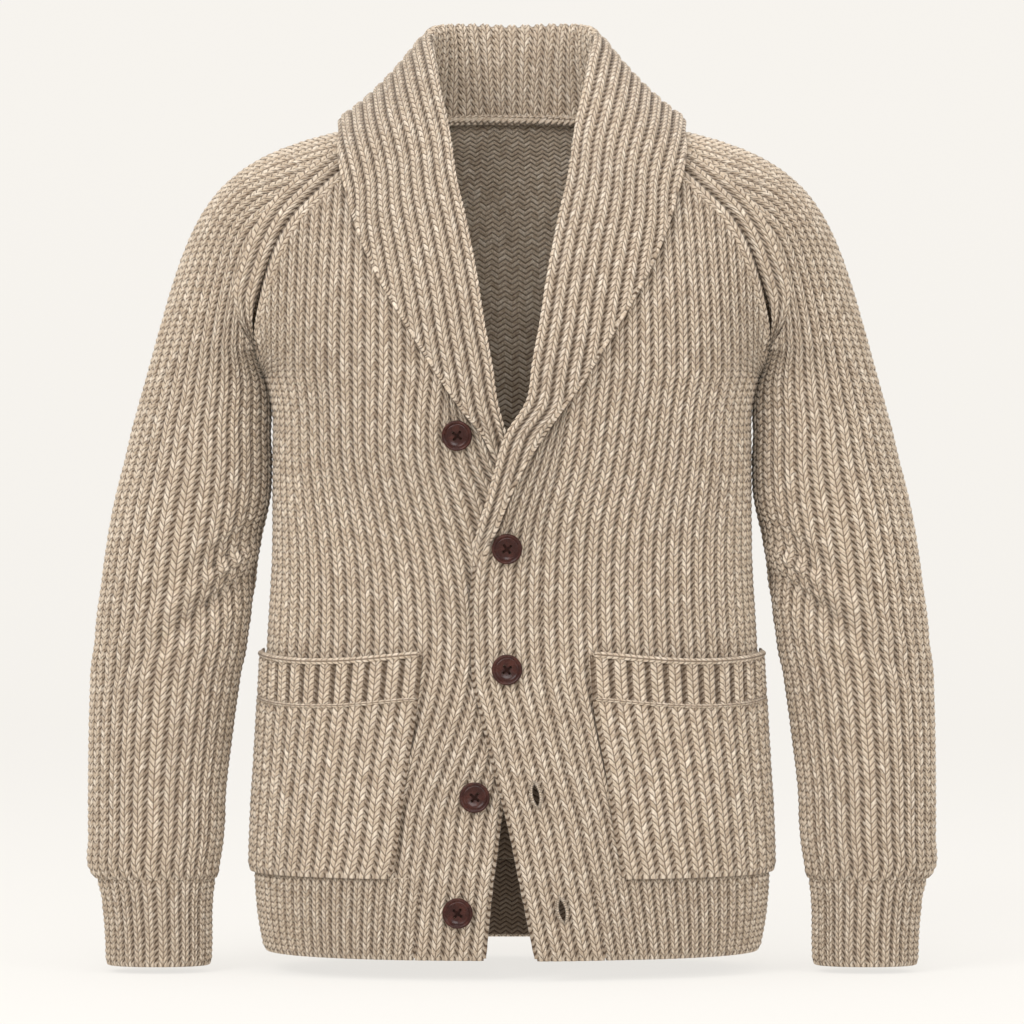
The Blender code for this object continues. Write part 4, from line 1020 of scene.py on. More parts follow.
class Finish:
    """A material while its nodes are made."""

    def __init__(self, name, rough, **constants):
        self.made = bpy.data.materials.new(name)
        self.made.use_nodes = True
        self.tree = self.made.node_tree
        self.shader = self.tree.nodes["Principled BSDF"]
        self.shader.inputs["Roughness"].default_value = rough
        for socket, value in constants.items():
            self.shader.inputs[socket.replace("_", " ")].default_value = value

    def add(self, kind, settings=None, values=None, out=0):
        """Adds a node, its settings first, and returns one of its outputs."""
        node = self.tree.nodes.new(kind)
        for key, value in (settings or {}).items():
            setattr(node, key, value)
        for key, value in (values or {}).items():
            self.feed(node.inputs[key], value)
        return Wire(self, node.outputs[out])

    def feed(self, socket, value):
        if isinstance(value, Wire):
            self.tree.links.new(value.socket, socket)
        else:
            socket.default_value = value

    def mix(self, share, a, b, blend="MIX"):
        """Mixes two colours."""
        node = self.tree.nodes.new("ShaderNodeMix")
        node.data_type = "RGBA"
        node.blend_type = blend
        self.feed(node.inputs[0], share)
        self.feed(node.inputs[6], a)
        self.feed(node.inputs[7], b)
        return Wire(self, node.outputs[2])

    def place(self):
        """The place on the object, in metres."""
        return self.add("ShaderNodeTexCoord", None, None, "Object")

    def vector(self, x, y, z=0.0):
        return self.add("ShaderNodeCombineXYZ", None, {"X": x, "Y": y, "Z": z})

    def noise(self, vector, scale, detail=2.0, rough=0.5):
        values = {"Vector": vector, "Scale": scale, "Detail": detail, "Roughness": rough}
        return self.add("ShaderNodeTexNoise", None, values)

    def chance(self, cell):
        """A random number for each cell."""
        return self.add("ShaderNodeTexWhiteNoise", {"noise_dimensions": "3D"}, {"Vector": cell}, "Value")

    def bump(self, height, distance, strength=1.0, under=None):
        values = {"Height": height, "Distance": distance, "Strength": strength}
        if under is not None:
            values["Normal"] = under
        return self.add("ShaderNodeBump", None, values)


def colour(value):
    return (*value, 1.0)


STITCH_FROM = 0.1  # from a stitch mark to the gap under its stitch
LEG_MIDDLE = 0.178  # of a rib, from its middle to the middle of one leg of its V
LEG_HALF = 0.176


def yarn_finish(name, inside=False):
    """Marled wool: cream, tan and brown strands twisted together, with painted shade round each leg of a stitch, in
    the purl columns and low in the grooves; on the inside, painted shade between the purl bumps and towards the
    bottom.
    """
    tones = knit()
    finish = Finish(name, 0.92, Sheen_Weight=0.15, Sheen_Roughness=0.6, Specular_IOR_Level=0.25)
    stored = {"attribute_type": "GEOMETRY", "attribute_name": "knit"}
    marks = finish.add("ShaderNodeAttribute", stored, None, "Vector")
    rib = finish.add("ShaderNodeSeparateXYZ", None, {"Vector": marks}, "X")
    stitch = Wire(finish, rib.socket.node.outputs["Y"]) + STITCH_FROM
    height = Wire(finish, rib.socket.node.outputs["Z"])
    place = finish.place()
    aside = (rib.fract() - 0.5).abs()
    side = (rib * 2).floor()
    if inside:
        rows = stitch * 1.25 + aside * 1.7
        leg = rows.floor()
        end = (rows.fract() - 0.5).abs()
        body = end.step(0.5, 0.15)
        # painted shade mask: between the purl bumps of the inside
        gap_shade = end.step(0.3, 0.47)
    else:
        leg = stitch.floor()
        across = (aside - LEG_MIDDLE).abs()
        end = (stitch.fract() - 0.5).abs()
        purl = aside.step(LEG_MIDDLE + LEG_HALF * 0.86, LEG_MIDDLE + LEG_HALF * 1.12)
        round_leg = across.step(LEG_HALF * 1.05, LEG_HALF * 0.2) * end.step(0.53, 0.16)
        bars = ((stitch + rib * 3.0).fract() - 0.5).abs()
        body = round_leg * (1 - purl) + bars.step(0.5, 0.15) * purl * 0.8
        # painted shade mask: round each leg, between successive legs and between the purl bars
        gap_shade = across.step(LEG_HALF * 0.7, LEG_HALF * 1.0).most(end.step(0.33, 0.48))
        gap_shade = gap_shade * (1 - purl) + bars.step(0.28, 0.47) * purl
    chance = finish.chance(finish.vector(side, leg, 0.0))
    other = finish.chance(finish.vector(leg, side, 5.0))
    strand = finish.noise(finish.vector(rib * 7.0, stitch * 2.6, chance * 9.0), 1.0, 2.0, 0.55)
    thread = finish.noise(finish.vector(rib * 20.0 + stitch * 2.0, stitch * 7.0, chance * 5.0), 1.0, 3.0, 0.6)
    fuzz = finish.noise(place, 1500.0, 2.0, 0.7)
    broad = finish.noise(place, 9.0, 2.0, 0.5)
    pale = strand.step(0.46, 0.64) * 0.55 + thread.step(0.5, 0.68) * 0.45 + chance.step(0.6, 1.0) * 0.45
    brown = strand.step(0.46, 0.32) * 0.5 + thread.step(0.44, 0.3) * 0.45 + other.step(0.62, 1.0) * 0.5
    base = finish.mix(pale.clamped(), colour(tones.tan), colour(tones.cream))
    base = finish.mix(brown.clamped() * 0.75, base, colour(tones.brown))
    base = finish.mix(fuzz.step(0.4, 0.75) * 0.2, base, colour(tones.cream))
    shade = broad * 0.22 + 0.89
    grey = finish.add("ShaderNodeCombineColor", None, {0: shade, 1: shade, 2: shade})
    base = finish.mix(1.0, base, grey, "MULTIPLY")
    if inside:
        # painted shade: the inside grows darker towards the bottom, where the garment shades it, and between the purl
        # bumps
        lower = finish.add("ShaderNodeSeparateXYZ", None, {"Vector": place}, "Z")
        dark = gap_shade * 0.6 + lower.step(-0.06, -0.36) * 0.55 + lower.step(-0.4, -0.6) * 0.3
    else:
        # painted shade: darker in the gaps round the legs, in the recessed purl columns and low in the grooves
        dark = gap_shade * 0.85 + purl * 0.14 + height.step(0.0, -2.1) * 0.7
    # mixes the painted shade colour into those gaps and grooves
    base = finish.mix(dark.clamped(), base, colour(tones.painted_crevice_shade))
    finish.feed(finish.shader.inputs["Base Color"], base)
    surface = finish.bump(body, 0.0011, 0.9)
    surface = finish.bump(thread * 0.6 + strand * 0.4, 0.0006, 0.8, surface)
    surface = finish.bump(fuzz, 0.00025, 0.6, surface)
    finish.feed(finish.shader.inputs["Normal"], surface)
    return finish.made


def once(name, finish, *given):
    """A material that is made the first time that it is asked for."""
    return bpy.data.materials.get(name) or finish(name, *given)


def yarn():
    """The outside and the inside of the knitting."""
    return once("marled_wool", yarn_finish), once("marled_wool_inside", yarn_finish, True)


def horn_finish(name):
    """Dark brown polished horn with faint clouds."""
    buttons = bpy.context.scene.cardigan_buttons
    finish = Finish(name, 0.28, Coat_Weight=0.1, Coat_Roughness=0.08, Specular_IOR_Level=0.2)
    place = finish.place()
    cloud = finish.noise(place, 130.0, 4.0, 0.6)
    fine = finish.noise(place, 900.0, 2.0, 0.6)
    base = finish.mix(cloud.step(0.4, 0.68), colour(buttons.dark), colour(buttons.light))
    finish.feed(finish.shader.inputs["Base Color"], base)
    finish.feed(finish.shader.inputs["Roughness"], fine * 0.16 + 0.2)
    finish.feed(finish.shader.inputs["Normal"], finish.bump(cloud * 0.6 + fine * 0.4, 0.0002, 0.5))
    return finish.made


def thread_finish(name):
    """Waxed brown sewing thread with a tight twist."""
    buttons = bpy.context.scene.cardigan_buttons
    finish = Finish(name, 0.7, Specular_IOR_Level=0.1)
    place = finish.place()
    ply = finish.noise(place, 1800.0, 2.0, 0.5)
    base = finish.mix(ply.step(0.35, 0.65) * 0.4, colour(buttons.thread), colour(buttons.light))
    finish.feed(finish.shader.inputs["Base Color"], base)
    finish.feed(finish.shader.inputs["Normal"], finish.bump(ply, 0.0002, 0.6))
    return finish.made


# ---------------------------------------------------------------- panels


def seam_ribs(cloth, kind, back, sleeve, side):
    """Ribs that follow a raglan seam: two on the sleeve, one on the body."""
    count = 2 if sleeve else 1
    across = ribs_across(count)
    s = np.linspace(0.0, 1.0, 150)
    full = STRIP_SLEEVE if sleeve else STRIP_BODY
    u = strip_width(s, full)[:, None] * (across / count)[None]
    if sleeve:
        w = np.linspace(0, 0.5, 41)
        base = np.empty((len(s), len(across), 3))
        for i, at in enumerate(s):
            points = head_section(1 - w if back else w, np.full(len(w), at))
            run = lengths(points)
            for k in range(3):
                base[i, :, k] = np.interp(u[i] + 0.01, run, points[:, k])
        normal = outward(grid_normals(base, False), base, np.array((-250, 0, -150.0)))
        for i in range(12):  # the first rows are so narrow that their own normals aren't sure
            normal[i] = normal[12] * (0.3 + 0.7 * i / 12) + normal[i] * (0.7 - 0.7 * i / 12)
        normal = unit(normal)
    else:
        point, _, away = raglan(s, back)
        flat = point[:, None] - away[:, None] * (SEAM / 2 + u[..., None])
        z = flat[..., 2]
        x = np.minimum(within_body(flat[..., 0], z), 0)
        base, normal = lifted(x, body_y(x, z, back), z, kind == "top" and not back)
    turn = np.array((side, 1, 1.0))
    knitted(cloth, base * turn, normal * turn, across, PLAIN, stitch_height(), seed=7 + count,
            edges=(None, None, 0.8, 0.6), lines=24, out=0.25, rib_at=100.0)


def outward(normal, base, middle):
    """Normals turned, all together, to face away from the middle."""
    return normal if ((base - middle) * normal).sum() >= 0 else -normal


def seam_ends(base, full, seams, top=False):
    """Where each column runs in under the ribs along these raglan seams, each given as back and side."""
    s = np.linspace(0, 1, 160)
    widths = strip_width(s, full) - STRIP_SUNK
    found = []
    for back, side in seams:
        line = raglan(s, back)[0] * np.array((side, 1, 1.0))
        if top:
            line[:, 1] -= overlap(line[:, 0], line[:, 2])
        found.append(reach_of(base, line, widths))
    return np.min(found, axis=0)


def make_back():
    across = ribs_across(RIBS["back"])
    base, normal = back_panel(RIBS["back"], across / RIBS["back"], np.linspace(0, 1, 150))
    cloth = Cloth("back_knit")
    ends = seam_ends(base, STRIP_BODY, ((True, 1), (True, -1)))
    knitted(cloth, base, normal, across, PLAIN, stitch_height(), ends=ends, seed=3, lines=60)
    for side in (1, -1):
        seam_ribs(cloth, "under", True, False, side)
    dressed(cloth, "back")


def make_front(kind, side):
    top = kind == "top"
    count = RIBS["front_" + kind]
    across = ribs_across(count)
    base, normal = front_panel(kind, count, across / count, np.linspace(0, 1, 150))
    ends = seam_ends(base, STRIP_BODY, ((False, 1),), top)
    base, normal = mirrored(base, normal, kind)
    cloth = Cloth("front_" + side + "_knit")
    knitted(cloth, base, normal, across, PLAIN, stitch_height(), ends=ends, seed=11 if top else 12, lines=50)
    seam_ribs(cloth, kind, False, False, -1 if top else 1)
    dressed(cloth, "front_" + side)


ELBOW_FOLDED = 2.0  # how much deeper the soft folds are than on the solid
NEAR_BODY = 4.0  # how much fuller the sleeve is where it lies beside the body
UNDERARM = 1.6  # and how much more just under the arm
SLEEVE_LOW = -641.6
CUFF_LOW = -714.0
LOW_EDGES = (2.2, 0.8, 0.8, 0.8)  # a hem's or a cuff's lower edge is rounder than its others


def joined(grid):
    """A grid round a tube with its first column again as its last."""
    return np.concatenate([grid, grid[:, :1]], 1)


def side_turn(side):
    """Turns the right sleeve or cuff into the left one."""
    return np.array((1 if side == "right" else -1, 1, 1.0))


def make_sleeve(side):
    count = RIBS["sleeve"]
    across = ribs_across(count)
    f = across[:-1] / count
    z = np.linspace(SLEEVE_LOW, SLEEVE_LOW_HEAD, 58)[:-1, None]
    base = np.concatenate([oval(SLEEVE, z, f[None, :]), head_paths(f, 90)])
    normal = grid_normals(base, True)
    if (normal[20] * (base[20] - base[20].mean(0))).sum() < 0:
        normal = -normal
    normal[0] = normal[1]
    base = base - normal * ELBOW_FOLDED * elbow_creases(base[..., 0], base[..., 2], f)[..., None]
    height = base[..., 2]
    beside = np.exp(-((np.minimum(f, 1 - f) / 0.1) ** 2)) * ease(-360, -310, height) * (1 - ease(-232, -200, height))
    beside = beside * (NEAR_BODY + UNDERARM * np.exp(-(((height + 247) / 16) ** 2)))
    base = base + normal * beside[..., None]
    ends = seam_ends(base, STRIP_SLEEVE, ((False, 1), (True, 1)))
    turn = side_turn(side)
    cloth = Cloth("sleeve_" + side + "_knit")
    knitted(cloth, joined(base) * turn, joined(normal) * turn, across, PLAIN, stitch_height(),
            ends=np.append(ends, ends[0]), seed=21, wrap=True, lines=50)
    for back in (False, True):
        seam_ribs(cloth, "under", back, True, turn[0])
    dressed(cloth, "sleeve_" + side)


def make_hems():
    rows = np.linspace(HEM_LOW, BODY_LOW - SEAM / 2, 16)[:, None]
    edge = SIDE_GAP / RING_ABOUT
    for node, kind, seed, rests_on in (("hem_front_right", "under", 31, "front_right"),
                                       ("hem_front_left", "top", 31, "front_left"),
                                       ("hem_back", "back", 33, "back")):
        back = kind == "back"
        count = RIBS["hem_back" if back else "hem_front"]
        across = ribs_across(count)
        end = 1 if back else band_seam(kind == "top")(rows)
        share = edge + across / count * (end - 2 * edge)
        base, normal = mirrored(*body_points(share, rows, back=back, top=kind == "top"), kind)
        cloth = Cloth(node + "_knit")
        knitted(cloth, base, normal, across, PLAIN, stitch_height(True), seed=seed, edges=LOW_EDGES, lines=8)
        dressed(cloth, node)


def make_cuff(side):
    count = RIBS["cuff"]
    across = ribs_across(count)
    z = np.linspace(CUFF_LOW, SLEEVE_LOW - SEAM, 18)[:, None]
    base = oval(CUFF, z, across[None, :-1] / count)
    normal = grid_normals(base, True)
    if (normal[8] * (base[8] - base[8].mean(0))).sum() < 0:
        normal = -normal
    turn = side_turn(side)
    cloth = Cloth("cuff_" + side + "_knit")
    knitted(cloth, joined(base) * turn, joined(normal) * turn, across, PLAIN, stitch_height(True), seed=41,
            edges=LOW_EDGES, wrap=True, lines=8)
    dressed(cloth, "cuff_" + side)


def slit_frame(x, z, tilt):
    """Middle, sideways and up of a buttonhole, on the -X drawing."""
    centre, normal = on_front("top", x, z)
    side, up = frame_at(normal)
    lean = math.radians(tilt + 4)
    return centre, side * math.cos(lean) + up * math.sin(lean), up * math.cos(lean) - side * math.sin(lean), normal


def make_band(kind, side):
    count = RIBS["band"]
    across = ribs_across(count)
    top = front_tops(np.array((1.0,)), RIBS["front_top"])[0, 2]
    base, normal = mirrored(*band_grid(kind, across / count, np.linspace(HEM_LOW, top, 110)), kind)
    cloth = Cloth("band_" + side + "_knit")
    knitted(cloth, base, normal, across, PLAIN, stitch_height(), seed=51, edges=(2.2, 0.8, 0.8, 2.2), lines=110)
    made = dressed(cloth, "band_" + side)
    if kind == "top":
        lips = Cloth("buttonhole_stitches")
        for row in BUTTONHOLES:
            slit = slit_frame(*row)
            cut(made, [slit_prism(*slit)])
            add_lip(lips, *slit)
        trimmed(lips)


SLIT_HALF = 7.0  # half a buttonhole's length, without its round ends
SLIT_R = 3.0
LIP_R = 4.0  # from a buttonhole's middle to the middle of the stitches round it


def slit_ring(centre, sideways, up, radius, turns):
    """Points round a buttonhole, on the +X side."""
    wide = np.sign(np.cos(turns)) * np.abs(np.cos(turns)) ** 1.4 * radius
    ring = centre + wide[:, None] * sideways + (np.sin(turns) * (SLIT_HALF + radius))[:, None] * up
    return ring * np.array((-1, 1, 1.0))


def slit_prism(centre, sideways, up, way):
    """A solid that leaves a buttonhole where it is cut away."""
    ring = slit_ring(centre, sideways, up, SLIT_R, np.linspace(0.05, 2 * math.pi + 0.05, 29))
    push = way * np.array((-8, 8, 8.0))
    middle = np.broadcast_to(ring[:-1].mean(0), ring.shape)
    return turned_solid("slit", np.stack([middle - push, ring - push, ring + push, middle + push]), middle, [])


def turned_solid(name, rings, middle, materials):
    """A closed piece from rings of points, whose first and last ring are each one point."""
    solid = Cloth(name)
    solid.skin(closed_round(solid.add(rings, np.zeros(3))), rings - middle)
    return solid.make(materials)


def closed_round(number):
    """Makes a grid's last column its first, and its first and last rows single points."""
    number[:, -1] = number[:, 0]
    number[0] = number[0, 0]
    number[-1] = number[-1, 0]
    return number


def cut(made, tools):
    """Cuts the tools away from a piece and removes them."""
    for tool in tools:
        away = made.modifiers.new("cut", "BOOLEAN")
        away.operation = "DIFFERENCE"
        away.solver = "EXACT"
        away.use_hole_tolerant = True
        away.object = tool
    graph = bpy.context.evaluated_depsgraph_get()
    left = bpy.data.meshes.new_from_object(made.evaluated_get(graph))
    made.modifiers.clear()
    whole = made.data
    tree = KDTree(len(whole.vertices))
    for vertex in whole.vertices:
        tree.insert(vertex.co, vertex.index)
    tree.balance()
    nearest = [tree.find(vertex.co)[1] for vertex in left.vertices]
    marks = np.empty(len(whole.vertices) * 3, np.float32)
    whole.attributes["knit"].data.foreach_get("vector", marks)
    if "knit" in left.attributes:
        left.attributes.remove(left.attributes["knit"])
    kept = left.attributes.new("knit", "FLOAT_VECTOR", "POINT")
    kept.data.foreach_set("vector", marks.reshape(-1, 3)[nearest].ravel())
    left.shade_smooth()
    made.data = left
    for tool in tools:
        bpy.data.objects.remove(tool)


def ringed(angle, first, second):
    """Ways round a line: from its first way out, by the angle, to its second."""
    return np.cos(angle)[None, :, None] * first[:, None] + np.sin(angle)[None, :, None] * second[:, None]


def add_lip(cloth, centre, sideways, up, way):
    """The whipped edge round a buttonhole."""
    ring = slit_ring(centre, sideways, up, LIP_R, np.linspace(0, 2 * math.pi, 97))
    way = np.broadcast_to(way * np.array((-1, 1, 1.0)), ring.shape)
    run = unit(np.roll(ring[:-1], -1, 0) - np.roll(ring[:-1], 1, 0))
    run = np.append(run, run[:1], 0)
    angle = np.linspace(0, 2 * math.pi, 11)
    place = np.arange(97)[:, None]
    radius = 1.5 + 0.3 * np.cos(place * 2 * math.pi / 3)[..., None]
    facing = ringed(angle, unit(np.cross(run, way)), 1.3 * way)
    tube = (ring + way * 0.9)[:, None] + radius * facing
    cloth.skin(cloth.add(tube, marked(angle / 6.3 + 60, place / 3.0, 0.6)), facing)


def make_pocket(kind, side):
    count = RIBS["pocket"]
    across = ribs_across(count)
    column = across / count
    round_out = np.sin(math.pi * column) ** 0.7
    z = np.linspace(BODY_LOW + 1.6, WELT_LOW - SEAM / 2, 36)[:, None]
    rise = ease(-560, WELT_LOW, z)
    out = POCKET_OUT + 1.2 * rise * round_out
    base, normal = mirrored(*pocket_grid(kind, z + pocket_sag(column) * rise, column, POCKET_START, out), kind)
    cloth = Cloth("pocket_" + side + "_knit")
    knitted(cloth, base, normal, across, PLAIN, stitch_height(), seed=61, edges=(2.4, 0.8, 1.2, 1.6), lines=14,
            depth=POCKET_WALL)
    dressed(cloth, "pocket_" + side)
    z = np.linspace(WELT_LOW + SEAM / 2, POCKET_TOP, 14)[:, None]
    out = POCKET_OUT + (1.2 + 2.0 * ease(WELT_LOW, POCKET_TOP, z)) * round_out
    base, normal = mirrored(*pocket_grid(kind, z + pocket_sag(column), column, POCKET_START, out), kind)
    cloth = Cloth("pocket_welt_" + side + "_knit")
    knitted(cloth, base, normal, across, DEEP, stitch_height(True), seed=62, edges=(0.8, 2.2, 1.2, 1.6), lines=8,
            depth=POCKET_WALL)
    dressed(cloth, "pocket_welt_" + side)
    roll = Cloth("pocket_roll_" + side)
    for row, over, radius in ((-1, 0.7, 2.7), (0, 0.9, 1.6)):
        add_roll(roll, (base[row] + normal[row] * over)[ROLL_FROM:], normal[row][ROLL_FROM:], radius)
    trimmed(roll)


def add_roll(cloth, path, out, radius):
    """A round edge of one rib, rolled over along a path."""
    far = lengths(path)
    run = unit(np.gradient(path, axis=0))
    angle = np.linspace(-math.pi, math.pi, 15)
    end = np.sqrt(np.clip(np.minimum(far, far[-1] - far) / (2 * radius), 0, 1))[:, None, None]
    facing = ringed(angle, out, unit(np.cross(run, out)))
    rib = 90.5 + 0.34 * angle / math.pi
    marks = marked(rib, far[:, None] / 5.2 - chevron(rib), 0.6)
    cloth.skin(closed_round(cloth.add(path[:, None] + facing * radius * end, marks)), facing)


# ---------------------------------------------------------------- collar


COLLAR_PITCH = 11.6  # width of a rib
STAND_HALF = 84.0  # from the middle of the back, along the fold: how far the stand's upright ribs pass over the fold
STAND_END = 215.0  # and where they end below it
OVER_FOLD = 9.0  # how far they pass over it
TIP_SUNK = 8.0  # how far the lapels' lower ends run in under the bands
TIP_LONG = 45.0  # length of the lapels' ends that do so
ACROSS = np.linspace(0, 2, 81)  # even places from the collar's seam, over the fold in their middle, to its edge
FOLD_AT = 40


def make_collar():
    """Knits both lapels, and between them the stand's upright ribs and the fall's long ones."""
    table, run = collar_stations()
    middle = run[len(LAPEL_UNDER) + len(COLLAR_BACK) - 1]
    stitch = stitch_height()
    for name, low, high, count in (("collar_right_knit", 0.0, middle - STAND_END, 225),
                                   ("collar_back_knit", middle - STAND_END, middle + STAND_END, 275),
                                   ("collar_left_knit", middle + STAND_END, run[-1], 225)):
        lapel = name != "collar_back_knit"
        at = np.linspace(low, high, count)
        along_fold = (at - middle)[:, None]
        whole = collar_points(np.broadcast_to(ACROSS, (count, len(ACROSS))), at, table, run)
        length = lengths(whole.swapaxes(0, 1)).T
        reach = length - length[:, FOLD_AT, None]
        bend = OVER_FOLD - (OVER_FOLD + 0.9 * length[:, FOLD_AT]) * ease(STAND_HALF, STAND_END, np.abs(at - middle))
        tip = ease(0, TIP_LONG, at if name == "collar_right_knit" else run[-1] - at)[:, None] if lapel else 1.0
        cloth = Cloth(name)
        skins = []
        for upright in (False,) if lapel else (True, False):
            steps = np.linspace(0, 1, 38 if upright else 88)
            start = reach[:, 0] if upright or lapel else bend + 0.05
            end = bend if upright else reach[:, -1]
            want = start[:, None] + (end - start)[:, None] * steps[None]
            across = np.array([np.interp(want[i], reach[i], ACROSS) for i in range(count)])
            base = collar_points(across, at, table, run)
            normal = unit(np.cross(np.gradient(base, axis=1), np.gradient(base, axis=0)))
            sample = normal[count // 2, -8 if lapel else 5 if upright else 60, 1]
            if (sample > 0) if lapel or upright else (sample < 0):
                normal = -normal
            base[..., 1] += TIP_SUNK * (1 - tip)
            if upright:
                rib = along_fold / COLLAR_PITCH + 200.5 + 0 * want
                row = want / stitch
            else:
                rib = want / COLLAR_PITCH + 0.25
                row = along_fold / stitch
            phase = row - chevron(rib)
            height = relief(rib, 0.5 + 0.5 * np.cos(2 * math.pi * (phase + 0.6)), PLAIN if upright else DEEP)
            edge = np.clip(np.minimum(want - reach[:, :1], reach[:, -1:] - want) / 3.0, 0, 1)
            joint = 1.0 if lapel else np.clip(np.abs(want - bend[:, None]) / 4.0, 0, 1)
            height = (height * (0.3 + 0.7 * edge) * (0.25 + 0.75 * joint) + 0.2) * (0.3 + 0.7 * tip)
            marks = marked(rib, phase, height)
            number = cloth.add(base + normal * height[..., None], marks)
            cloth.skin(number, normal)
            few = np.ix_(np.unique(np.append(np.arange(0, count, 4), count - 1)),
                         np.unique(np.append(np.arange(0, len(steps), 3), len(steps) - 1)))
            inner_number = cloth.add((base - normal * WALL)[few], marks[few] * np.array((1, 1, 0.0)))
            cloth.skin(inner_number, -normal[few], 1)
            if skins:
                for here, before, inside in ((number, skins[0][0], 0), (inner_number, skins[0][1], 1)):
                    facing = np.array((0, 0, 1.0 - 2 * inside))
                    cloth.skin(np.stack([before[:, -1], here[:, 0]], 1), facing, inside)
            skins.append((number, inner_number, base))
            cloth.area += cut_of(base[::4, ::3])[2]
        number, inner_number, base = skins[-1]
        cloth.rim(number[:, -1], inner_number[:, -1], unit(base[:, -1] - base[:, -2]), 2.4, 7)
        number, inner_number, base = skins[0]
        cloth.rim(number[:, 0], inner_number[:, 0], unit(base[:, 0] - base[:, 1]), 0.8)
        for number, inner_number, base in skins:
            cloth.rim(number[0], inner_number[0], unit(base[0] - base[1]), 2.0 if low == 0 else 0.0)
            cloth.rim(number[-1], inner_number[-1], unit(base[-1] - base[-2]), 2.0 if high == run[-1] else 0.0)
        cloth.width, cloth.length, _ = cut_of(whole[::4, ::3])
        dressed(cloth, "collar")


CORD_LINE = ((-66, 43, 9), (-48, 52, 10), (-25, 56, 11), (0, 57.5, 11), (25, 56, 11), (48, 52, 10), (66, 43, 9))
STRAND_R = 2.5


def make_cord():
    """Three strands twisted round each other, along the back of the neck."""
    path = along(CORD_LINE, np.linspace(0, 1, 260))
    run = unit(np.gradient(path, axis=0))
    side = unit(np.cross(run, np.array((0, 0, 1.0))))
    up = np.cross(side, run)
    far = lengths(path)
    cloth = Cloth("neck_cord_twist")
    angle = np.linspace(0, 2 * math.pi, 11)
    for strand in range(3):
        turn = 2 * math.pi * (far / 17.0 + strand / 3)
        centre = path + STRAND_R * (np.cos(turn)[:, None] * side + np.sin(turn)[:, None] * up)
        way = unit(np.gradient(centre, axis=0))
        out = unit(np.cross(way, np.array((0, 0.2, 1.0))))
        ring = ringed(angle, out, np.cross(out, way))
        tube = centre[:, None] + STRAND_R * ring
        marks = marked(angle / 6.3 * 1.5 + 70 + 3 * strand, (far / 5.5)[:, None], 0.8)
        cloth.skin(cloth.add(tube, marks), ring)
        for end, facing in ((0, -run[0]), (-1, run[-1])):
            cap = np.stack([tube[end], np.broadcast_to(centre[end], tube[end].shape)])
            cloth.skin(cloth.add(cap, marks[:2]), facing)
    made = cloth.make(yarn())
    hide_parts("neck_cord")


# ---------------------------------------------------------------- buttons


# The turned outline, from the middle of the face round the rim to the middle of the back: radius, height
BUTTON_RINGS = ((0.0, 2.35), (2.0, 2.35), (4.5, 2.4), (6.6, 2.6), (8.2, 3.0), (8.9, 3.3), (9.3, 3.05), (9.8, 3.0),
                (10.3, 3.45), (10.9, 4.0), (11.5, 4.25), (12.0, 4.15), (12.5, 3.6), (12.8, 2.7), (12.75, 2.0),
                (12.2, 1.2), (11.2, 0.5), (9.8, 0.1), (0.0, 0.0))
HOLE_FROM_MIDDLE = 3.9
HOLE_R = 1.15
THREAD_R = 0.55
THREAD_APART = 0.46  # half the space between the middles of two threads
THREAD_LOW = 0.95  # height of a thread's ends, down in the holes
THREAD_RISE = 2.1


def make_button(name, kind, x, z):
    """A turned button with a raised rim, a groove inside it, a dished face and four sewn holes."""
    centre, normal = on_front(kind, x, z)
    side, up = frame_at(normal)
    turn = np.array((-1 if kind == "top" else 1, 1, 1.0))
    centre = centre + normal * (RIB + (1.6 if name == "button_2" else 0.9))
    centre, side, up, normal = centre * turn, side * turn, up * turn, normal * turn
    angle = np.linspace(0, 2 * math.pi, 73)
    around = np.cos(angle)[:, None] * side + np.sin(angle)[:, None] * up
    rings = np.array(BUTTON_RINGS)[:, None]
    made = turned_solid(name + "_turned", centre + rings[..., :1] * around[None] + rings[..., 1:] * normal,
                        centre + normal * 1.5, [once("brown_horn", horn_finish)])
    lean = math.radians(38) + np.arange(4)[:, None] * math.pi / 2
    holes = centre + (np.cos(lean) * side + np.sin(lean) * up) * HOLE_FROM_MIDDLE
    drills = []
    for hole in holes:
        ring = around[::6] * HOLE_R
        low = hole - normal * 3
        high = hole + normal * 8
        tube = np.stack([low + 0 * ring, low + ring, high + ring, high + 0 * ring])
        drills.append(turned_solid("drill", tube, hole + normal * 2.5, []))
    cut(made, drills)
    made.data.shade_smooth()
    made.data.set_sharp_from_angle(angle=math.radians(40))
    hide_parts(name)
    sewn = Cloth(name + "_thread")
    t = np.linspace(0, 1, 17)[:, None]
    for a, b, lift in ((holes[0], holes[2], 0.0), (holes[1], holes[3], 0.45)):
        over = np.cross(unit(b - a), normal)
        arch = normal * (THREAD_LOW + (THREAD_RISE + lift) * np.sin(math.pi * t) ** 0.35)
        for shift in (-THREAD_APART, THREAD_APART):
            path = a + (b - a) * t + over * shift + arch
            out = unit(np.cross(unit(np.gradient(path, axis=0)), over))
            ring = THREAD_R * ringed(np.linspace(0, 2 * math.pi, 9), np.broadcast_to(over, out.shape), out)
            sewn.skin(sewn.add(path[:, None] + ring, np.zeros(3)), ring)
    sewn.make([once("brown_thread", thread_finish)])


# ---------------------------------------------------------------- stage


FLOOR_Z = -0.722  # metres from here on
SWEEP_SIDE = 9.0  # from the middle to the sweep's sides and its near end
SWEEP_BACK = 4.8  # where the floor starts to bend up, farther out than the camera is
SWEEP_BEND = 1.2  # radius of the bend
SWEEP_TOP = 6.0
AIMED_AT = Vector((0, 0, -0.3))  # what the lights point at


